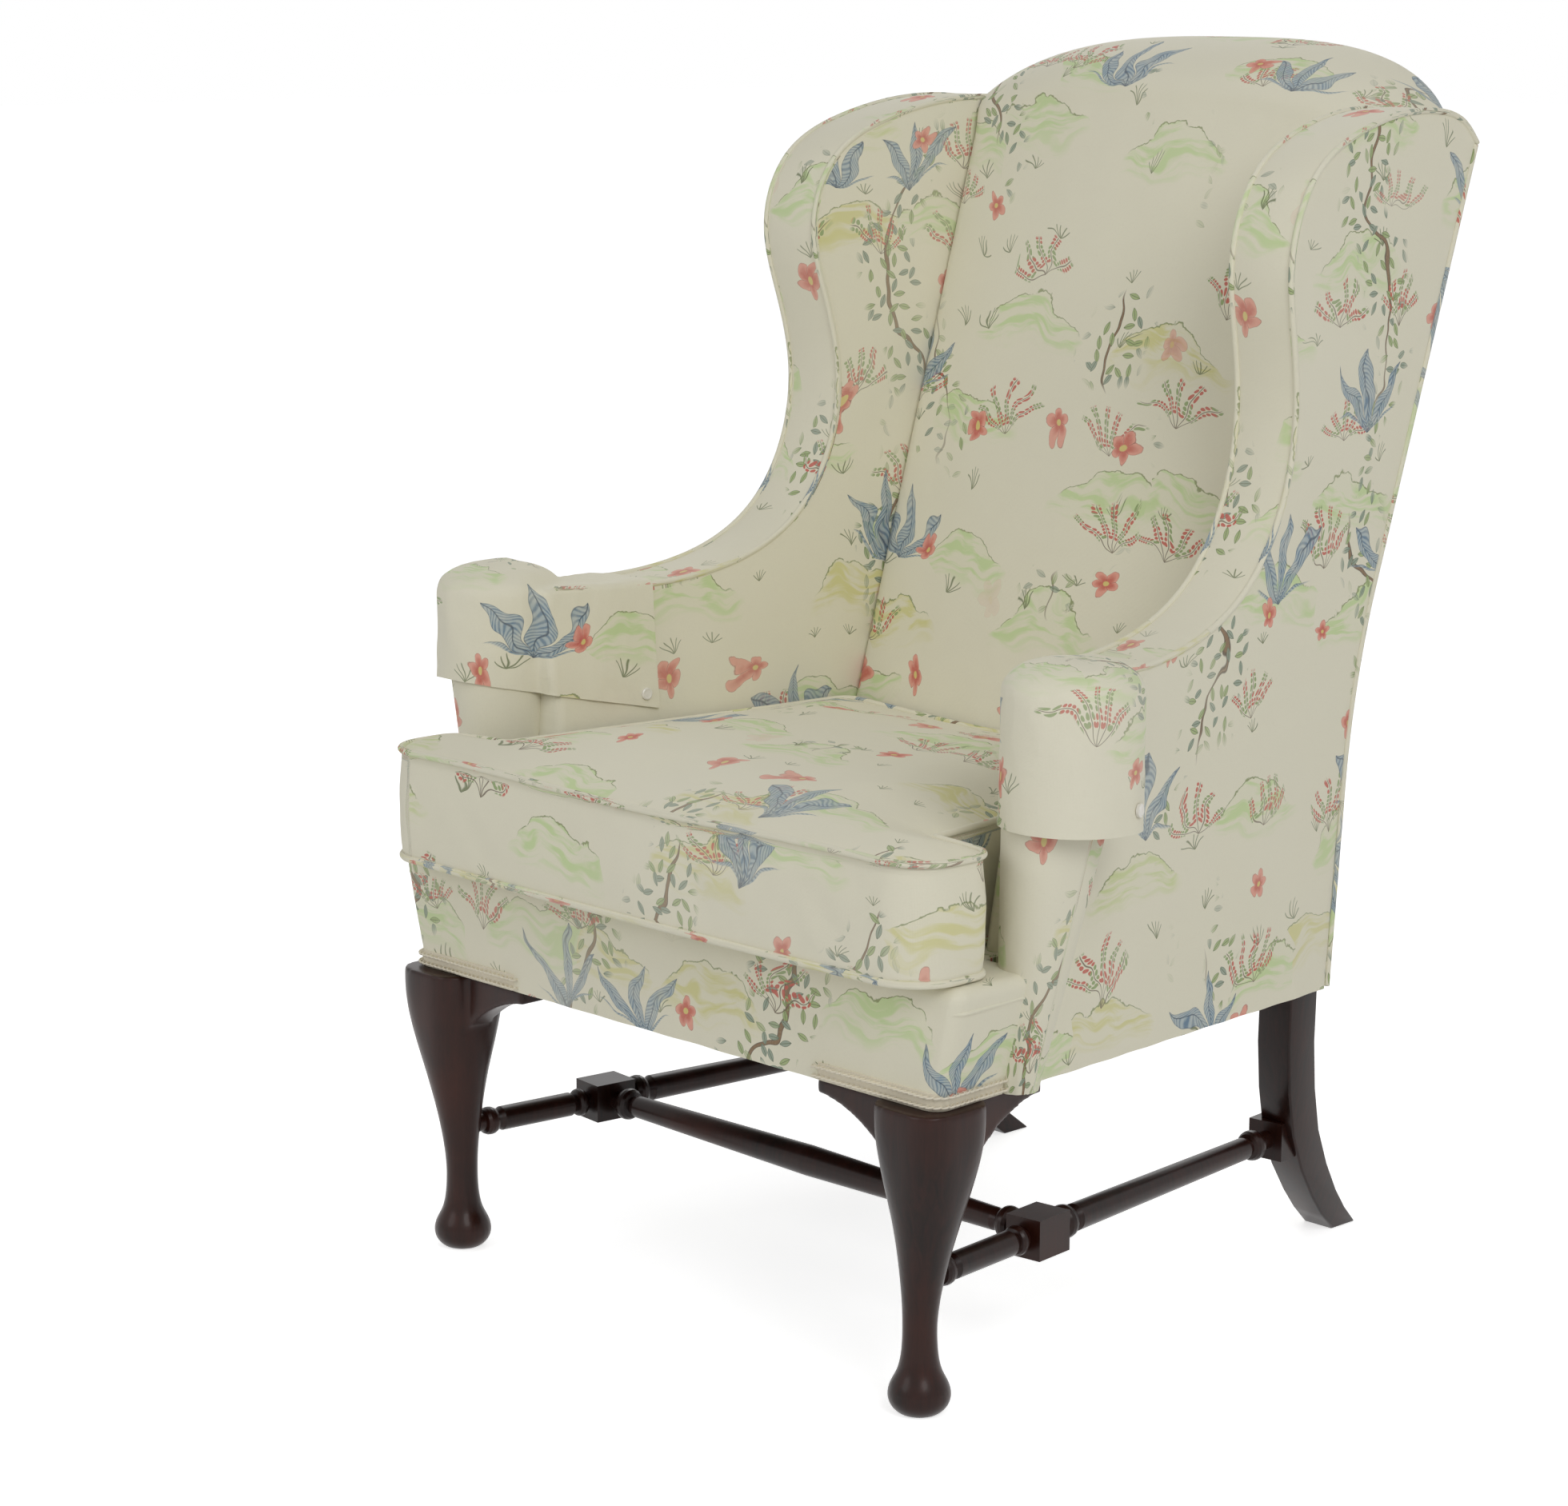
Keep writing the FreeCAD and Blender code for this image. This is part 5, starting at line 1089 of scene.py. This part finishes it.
class GardenPrint:
    """The printed cloth as it is worked out, in millimetres of cloth: each motif adds to its colour."""

    def __init__(self, tree):
        self.tree = tree
        self.place = add_node(tree, "ShaderNodeUVMap", uv_map="cloth").outputs[0]
        self.uv = add_node(tree, "ShaderNodeVectorMath", {0: self.place, "Scale": 1000.0},
                           operation="SCALE").outputs[0]
        drift = add_node(tree, "ShaderNodeTexNoise", {"Vector": self.uv, "Scale": 0.012, "Detail": 2.0},
                         noise_dimensions="2D")
        centred = add_node(tree, "ShaderNodeVectorMath", {0: drift.outputs["Color"], 1: (0.5, 0.5, 0.5)},
                           operation="SUBTRACT")
        wander = add_node(tree, "ShaderNodeVectorMath", {0: centred.outputs[0], "Scale": 60.0},
                          operation="SCALE")
        self.loose = add_node(tree, "ShaderNodeVectorMath", {0: self.uv, 1: wander.outputs[0]},
                              operation="ADD").outputs[0]
        self.brush = self.noise(14)
        self.colour = "E9E5CF"

    def noise(self, size, detail=3.0, vector=None):
        """Cloudy chance, 0 to 1, with clouds of about a size."""
        inputs = {"Vector": self.uv if vector is None else vector, "Scale": 1.0 / size, "Detail": detail}
        cloud = add_node(self.tree, "ShaderNodeTexNoise", inputs, noise_dimensions="2D")
        return Value(self.tree, cloud.outputs[0])

    def split(self, vector):
        """The two coordinates of a place."""
        flat = add_node(self.tree, "ShaderNodeSeparateXYZ", {0: vector})
        return Value(self.tree, flat.outputs[0]), Value(self.tree, flat.outputs[1])

    def motif(self, vector, spacing, randomness=0.8, shift=0.0):
        """Scattered roots on the cloth: the place from the nearest one, and its own chance numbers."""
        moved = add_node(self.tree, "ShaderNodeVectorMath", {0: vector, 1: (shift, shift * 0.7, 0)},
                         operation="ADD").outputs[0]
        cells = add_node(self.tree, "ShaderNodeTexVoronoi",
                         {"Vector": moved, "Scale": 1.0 / spacing, "Randomness": randomness},
                         voronoi_dimensions="2D")
        local = add_node(self.tree, "ShaderNodeVectorMath", {0: moved, 1: cells.outputs["Position"]},
                         operation="SUBTRACT")
        x, y = self.split(local.outputs[0])
        chance = add_node(self.tree, "ShaderNodeSeparateColor", {0: cells.outputs["Color"]})
        return x, y, [Value(self.tree, chance.outputs[part]) for part in range(3)]

    def mixed(self, base, ink, mask):
        """An ink that is itself a blend of two."""
        return laid_over(self.tree, base, ink, mask)

    def lay(self, ink, mask):
        """Prints an ink over the colour so far."""
        self.colour = laid_over(self.tree, self.colour, ink, mask)

    def hillocks(self):
        """Low washed hills with a thin outline, streaked as by a wide brush."""
        x, y, chance = self.motif(self.loose, 150)
        height = (x / 60.0) * (x / 60.0) * -24.0 + 14.0 + (self.brush - 0.5) * 12.0
        mound = y.below(height, 1.2) * y.above(-30.0, 20.0) * x.size().below(66.0, 14.0)
        drawn_out = add_node(self.tree, "ShaderNodeVectorMath", {0: self.loose, 1: (0.02, 0.12, 0.0)},
                             operation="MULTIPLY")
        streak = self.noise(1.0, 3.0, drawn_out.outputs[0])
        wash = mound * ((streak - 0.42) * 5.0).math("MAXIMUM", 0.1).math("MINIMUM", 1.0)
        self.lay(self.mixed("C6DC9C", "D8D48C", chance[0].above(0.7, 0.1)), wash * 0.85)
        rim = (y - height).size().below(0.7, 0.7) * x.size().below(58.0, 10.0) * self.brush.above(0.34, 0.1)
        self.lay("7F8C52", rim * 0.85)

    def grasses(self):
        """Small tufts of blades."""
        x, y, chance = self.motif(self.loose, 88, 0.8, 23.0)
        reach, turn = polar(x, y)
        blade = (reach * turn.math("PINGPONG", 0.21)).below(0.5, 0.5) * reach.below(15.0, 1.5)
        self.lay("5F6E3E", blade * turn.size().below(1.0, 0.1) * chance[1].above(0.45, 0.02) * 0.85)

    def boughs(self):
        """Wandering branches that come and go, with leaves along them."""
        u, v = self.split(self.loose)
        bough = (u + (v / 46.0).math("SINE") * 26.0 + (v / 17.0).math("SINE") * 5.0 + 4000.0)
        bough = bough.math("PINGPONG", 128.0)
        growth = self.noise(210, 1.0, self.loose)
        grown = growth.above(0.48, 0.04)
        thick = ((growth - 0.48) * 16.0 + 0.7).math("MINIMUM", 2.6)
        self.lay("8A6F52", bough.below(thick, 0.8) * grown)
        self.lay("4A3B30", (bough - thick).size().below(0.45, 0.5) * grown * 0.85)
        x, y, chance = self.motif(self.uv, 15, 0.9)
        along, beside = turned(x, y, chance[0] * 6.283)
        taper = (along / 7.6) * (along / 7.6) * -1.0 + 1.0
        inside = taper * 3.0 - beside.size()
        leaf = inside.above(0.0, 0.4) * (bough.below(40.0, 14.0) * grown) * chance[1].above(0.2, 0.02)
        self.lay(self.mixed("A3B67A", "8FA08F", chance[1].above(0.6, 0.02)), leaf * 0.9)
        vein = (beside.size().below(0.3, 0.3) + inside.size().below(0.4, 0.4)).math("MINIMUM", 1.0)
        self.lay("4F5C3C", vein * leaf * 0.8)

    def berries(self):
        """Sprays of round berries on fanned stems, some ripe and some green."""
        x, y, chance = self.motif(self.loose, 118, 0.75, 57.0)
        reach, turn = polar(x, y + 26.0)
        gap = reach * turn.math("PINGPONG", 0.24)
        bush = turn.size().below(1.1, 0.06) * reach.below((chance[2] * 0.3 + 0.8) * 52.0, 3.0)
        bush = bush * chance[1].above(0.46, 0.02)
        self.lay("6A5A44", gap.below(0.4, 0.4) * bush * 0.9)
        along = (reach.math("PINGPONG", 4.6) - 2.3) / 1.9
        beside = (gap - 2.7) / 1.6
        ball = (along * along + beside * beside).below(1.0, 0.35) * reach.above(14.0, 1.0) * bush
        ripe = (reach / 16.0 + turn).math("PINGPONG", 1.0).above(0.45, 0.04)
        self.lay(self.mixed("8DA468", "C8574A", ripe), ball * 0.92)

    def plumes(self):
        """Blue feathery fans with fine barbs and a dark outline."""
        x, y, chance = self.motif(self.loose, 176, 0.7, 131.0)
        reach, turn = polar(x, y + 40.0)
        gap = reach * turn.math("PINGPONG", 0.34)
        full = (reach / 78.0 * math.pi).math("SINE") * 8.5
        plume = (full - gap).above(0.0, 0.7) * turn.size().below(1.2, 0.05) * reach.below(77.0, 2.0)
        plume = plume * chance[1].above(0.4, 0.02)
        barb = (reach + gap * 1.3).math("PINGPONG", 2.6)
        blue = self.mixed("A9B9BE", "64829A", barb.below(1.2, 1.2))
        self.lay(blue, plume * ((self.brush - 0.5) * 0.8 + 0.85))
        self.lay("3D5266", ((full - gap).size().below(0.4, 0.5) + gap.below(0.5, 0.5)) * plume * 0.85)

    def blooms(self):
        """Round five-petalled flowers, darker at the heart, with a yellow eye."""
        x, y, chance = self.motif(self.loose, 128, 0.75, 411.0)
        ball, turn = polar(x, y)
        wave = (turn * 2.5 + chance[0] * 6.0).math("COSINE").size()
        petal = wave * 7.0 + 10.0 + (self.brush - 0.5) * 5.0
        bloom = (ball - petal).below(0.0, 0.7) * chance[1].above(0.5, 0.02)
        heart = (ball / petal + (self.brush - 0.5) * 0.8).below(0.62, 0.4)
        self.lay(self.mixed("E79A88", "CC5546", heart), bloom * 0.92)
        line = ((ball - petal).size().below(0.35, 0.4) + wave.below(0.06, 0.06)).math("MINIMUM", 1.0)
        self.lay("8C3F36", line * bloom * ball.above(4.0, 0.5) * 0.8)
        self.lay("DCC878", ball.below(3.4, 0.7) * bloom)

    def cloth(self):
        """Threads, slubs and fading over the whole print; gives the bumps of threads and soft creases."""
        warp, weft = self.split(self.uv)
        weave = (warp * THREAD_TURN).math("SINE") * 0.25 + (weft * THREAD_TURN).math("SINE") * 0.25 + 0.5
        slub = self.noise(2.2, 2.0)
        self.lay("D8CFBC", weave * 0.10 + (slub - 0.5).math("MAXIMUM", 0.0) * 0.35)
        self.lay("EAE6D4", (self.noise(260, 2.0) - 0.42).math("MAXIMUM", 0.0) * 0.8)
        threads = add_node(self.tree, "ShaderNodeBump", {"Strength": 0.35, "Distance": 0.0003,
                                                         "Height": (weave + slub * 0.8).socket})
        creases = add_node(self.tree, "ShaderNodeTexNoise",
                           {"Vector": self.place, "Scale": 22.0, "Detail": 3.0, "Distortion": 0.4})
        bumps = add_node(self.tree, "ShaderNodeBump", {"Strength": 0.3, "Distance": 0.004,
                                                       "Height": creases.outputs[0],
                                                       "Normal": threads.outputs[0]})
        return bumps.outputs[0]


def garden_print(tree):
    """Cream ground, washed green hillocks, branches with leaves, sprays of berries, plumes and flowers."""
    printed = GardenPrint(tree)
    for motif in (printed.hillocks, printed.grasses, printed.boughs, printed.berries, printed.plumes,
                  printed.blooms):
        motif()
    bumps = printed.cloth()
    return {"Base Color": printed.colour, "Normal": bumps}


# Printed and washed cotton and linen: matt, with a fuzz of fibre ends that pales its turned edges
PRINT = finish_material("printed_cotton_linen", garden_print, Roughness=0.86, Sheen_Weight=0.12,
                        Sheen_Roughness=0.5)
# French-polished mahogany: a thin hard film over dark wood, so small crisp highlights
WOOD = finish_material("polished_mahogany", mahogany, Coat_Weight=0.08, Coat_Roughness=0.12,
                       Specular_IOR_Level=0.22)
# Sawn beech of the hidden frame: pale and dry, with short brown flecks
BEECH = finish_material("sawn_beech", mottled("C9A06B", "A87C4B", 60.0, 6.0), Roughness=0.7)
# Twilled jute webbing: coarse tan threads, dull
JUTE = finish_material("jute_webbing", plain_cloth("B08E5C", "8A6A40", 2.4), Roughness=0.9)
# Black bottoming cloth and unbleached canvas: close and dull, with threads drawn twice as coarse as real
HESSIAN = finish_material("black_bottoming_cloth", plain_cloth("2A2927", "3B3A37", 1.6), Roughness=0.92)
CANVAS = finish_material("unbleached_canvas", plain_cloth("D9CDB0", "C2B48F", 1.6), Roughness=0.9)
# Woven cotton gimp: creamy round thread, soft and matt
BRAID = finish_material("cotton_gimp", plain_cloth("F1EBDA", "E0D6BE", 1.1), Roughness=0.85)
# Polyester shirt button, moulded and tumbled smooth: milky with a faint cloud and a small clear highlight
BUTTON = finish_material("pearl_button", mottled("F4F1E8", "DCD8CC", 160.0, 2.0), Roughness=0.28,
                         Coat_Weight=0.3)

# Finish by a word in the name; a node with none of these is beech, a piece of the scene printed cloth
NODE_FINISH = {"side_stretcher": WOOD, "cross_stretcher": WOOD, "cover_button": BUTTON, "webbing": JUTE,
               "canvas": CANVAS}
PIECE_FINISH = {"gimp": BRAID, "polished": WOOD, "underside": HESSIAN}


def finish_for(name):
    """The finish of a model node or of a piece that is made here."""
    words, finish = (NODE_FINISH, BEECH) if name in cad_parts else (PIECE_FINISH, PRINT)
    for word, material in words.items():
        if word in name:
            finish = material
    return finish


# Building the chair

braid_tree = gimp_tree(BRAID)
for side in ("right", "left"):
    inside_cover(side)
    outside_cover(side)
    edge_band(side)
    side_welts(side)
    arm_roll(side)
    arm_cover(side, *HEMS[side])
    gimp(side, braid_tree)
    cabriole(side)
    rear_leg(side)
back_piece()
outside_back()
front_border()
seat_deck()
underside()
cushion()
for piece in [piece for piece in bpy.data.objects if piece.type == "MESH"]:
    piece.data.materials.clear()
    piece.data.materials.append(finish_for(piece.name))


# Camera, light and floor

def camera():
    """The photograph's own view: its angles in degrees, its focal length in pixels, its place in metres."""
    turn, lift, roll = (math.radians(angle) for angle in (46.43, 11.24, 0.12))
    focal_pixels, photo_width, sensor = 4888.47, 1960, 36
    back = Vector((math.sin(turn) * math.cos(lift), -math.cos(turn) * math.cos(lift), math.sin(lift)))
    level = Vector((math.cos(turn), math.sin(turn), 0))
    right = level * math.cos(roll) + back.cross(level) * math.sin(roll)
    data = bpy.data.cameras.new("camera")
    data.sensor_fit, data.sensor_width, data.lens = "HORIZONTAL", sensor, sensor * focal_pixels / photo_width
    view = add_object("camera", data)
    axes = Matrix((right, back.cross(right), back)).transposed().to_4x4()
    view.matrix_world = Matrix.Translation((2.599, -2.691, 1.239)) @ axes
    bpy.context.scene.camera = view


def lamp(name, place, aim, power):
    """A large round soft lamp that looks at a spot."""
    data = bpy.data.lights.new(name, "AREA")
    data.shape, data.size, data.energy = "DISK", 2.0, power
    light = add_object(name, data)
    light.location = place
    light.rotation_euler = (Vector(aim) - Vector(place)).to_track_quat("-Z", "Y").to_euler()


def white_to_camera(tree, strength):
    """White that only camera, glossy and transmission rays see, so that it doesn't light the chair."""
    path = add_node(tree, "ShaderNodeLightPath")
    seen = Value(tree, path.outputs["Is Camera Ray"])
    for ray in ("Is Glossy Ray", "Is Transmission Ray"):
        seen = seen.math("MAXIMUM", Value(tree, path.outputs[ray]))
    return seen * strength


def world_light():
    """A dim even sky that shows white to the camera beyond the floor."""
    world = bpy.data.worlds.new("studio")
    bpy.context.scene.world = world
    world.use_nodes = True
    sky = world.node_tree.nodes["Background"]
    sky.inputs[0].default_value = (1, 1, 1, 1)
    world.node_tree.links.new((white_to_camera(world.node_tree, 0.6) + 0.4).socket, sky.inputs[1])


def floor():
    """A wide matt white floor, lifted towards white for the camera, that keeps the chair's shadow."""
    mesh = bpy.data.meshes.new("floor")
    mesh.from_pydata([(-30, -30, 0), (30, -30, 0), (30, 30, 0), (-30, 30, 0)], [], [(0, 1, 2, 3)])
    matt = bpy.data.materials.new("matt_white_floor")
    matt.use_nodes = True
    shader = matt.node_tree.nodes["Principled BSDF"]
    shader.inputs["Base Color"].default_value = linear("F4F4F4")
    shader.inputs["Roughness"].default_value = 1.0
    shader.inputs["Emission Color"].default_value = (1, 1, 1, 1)
    matt.node_tree.links.new(white_to_camera(matt.node_tree, 0.68).socket, shader.inputs["Emission Strength"])
    mesh.materials.append(matt)
    add_object("floor", mesh)


camera()
lamp("key", (3.2, -1.4, 2.9), (0, 0, 0.6), 46)
lamp("fill", (-0.8, -3.6, 2.2), (0, 0, 0.6), 19)
lamp("rear", (-2.4, 2.6, 2.6), (0, 0, 0.8), 22)
world_light()
floor()
bpy.context.scene.view_settings.view_transform = "Standard"
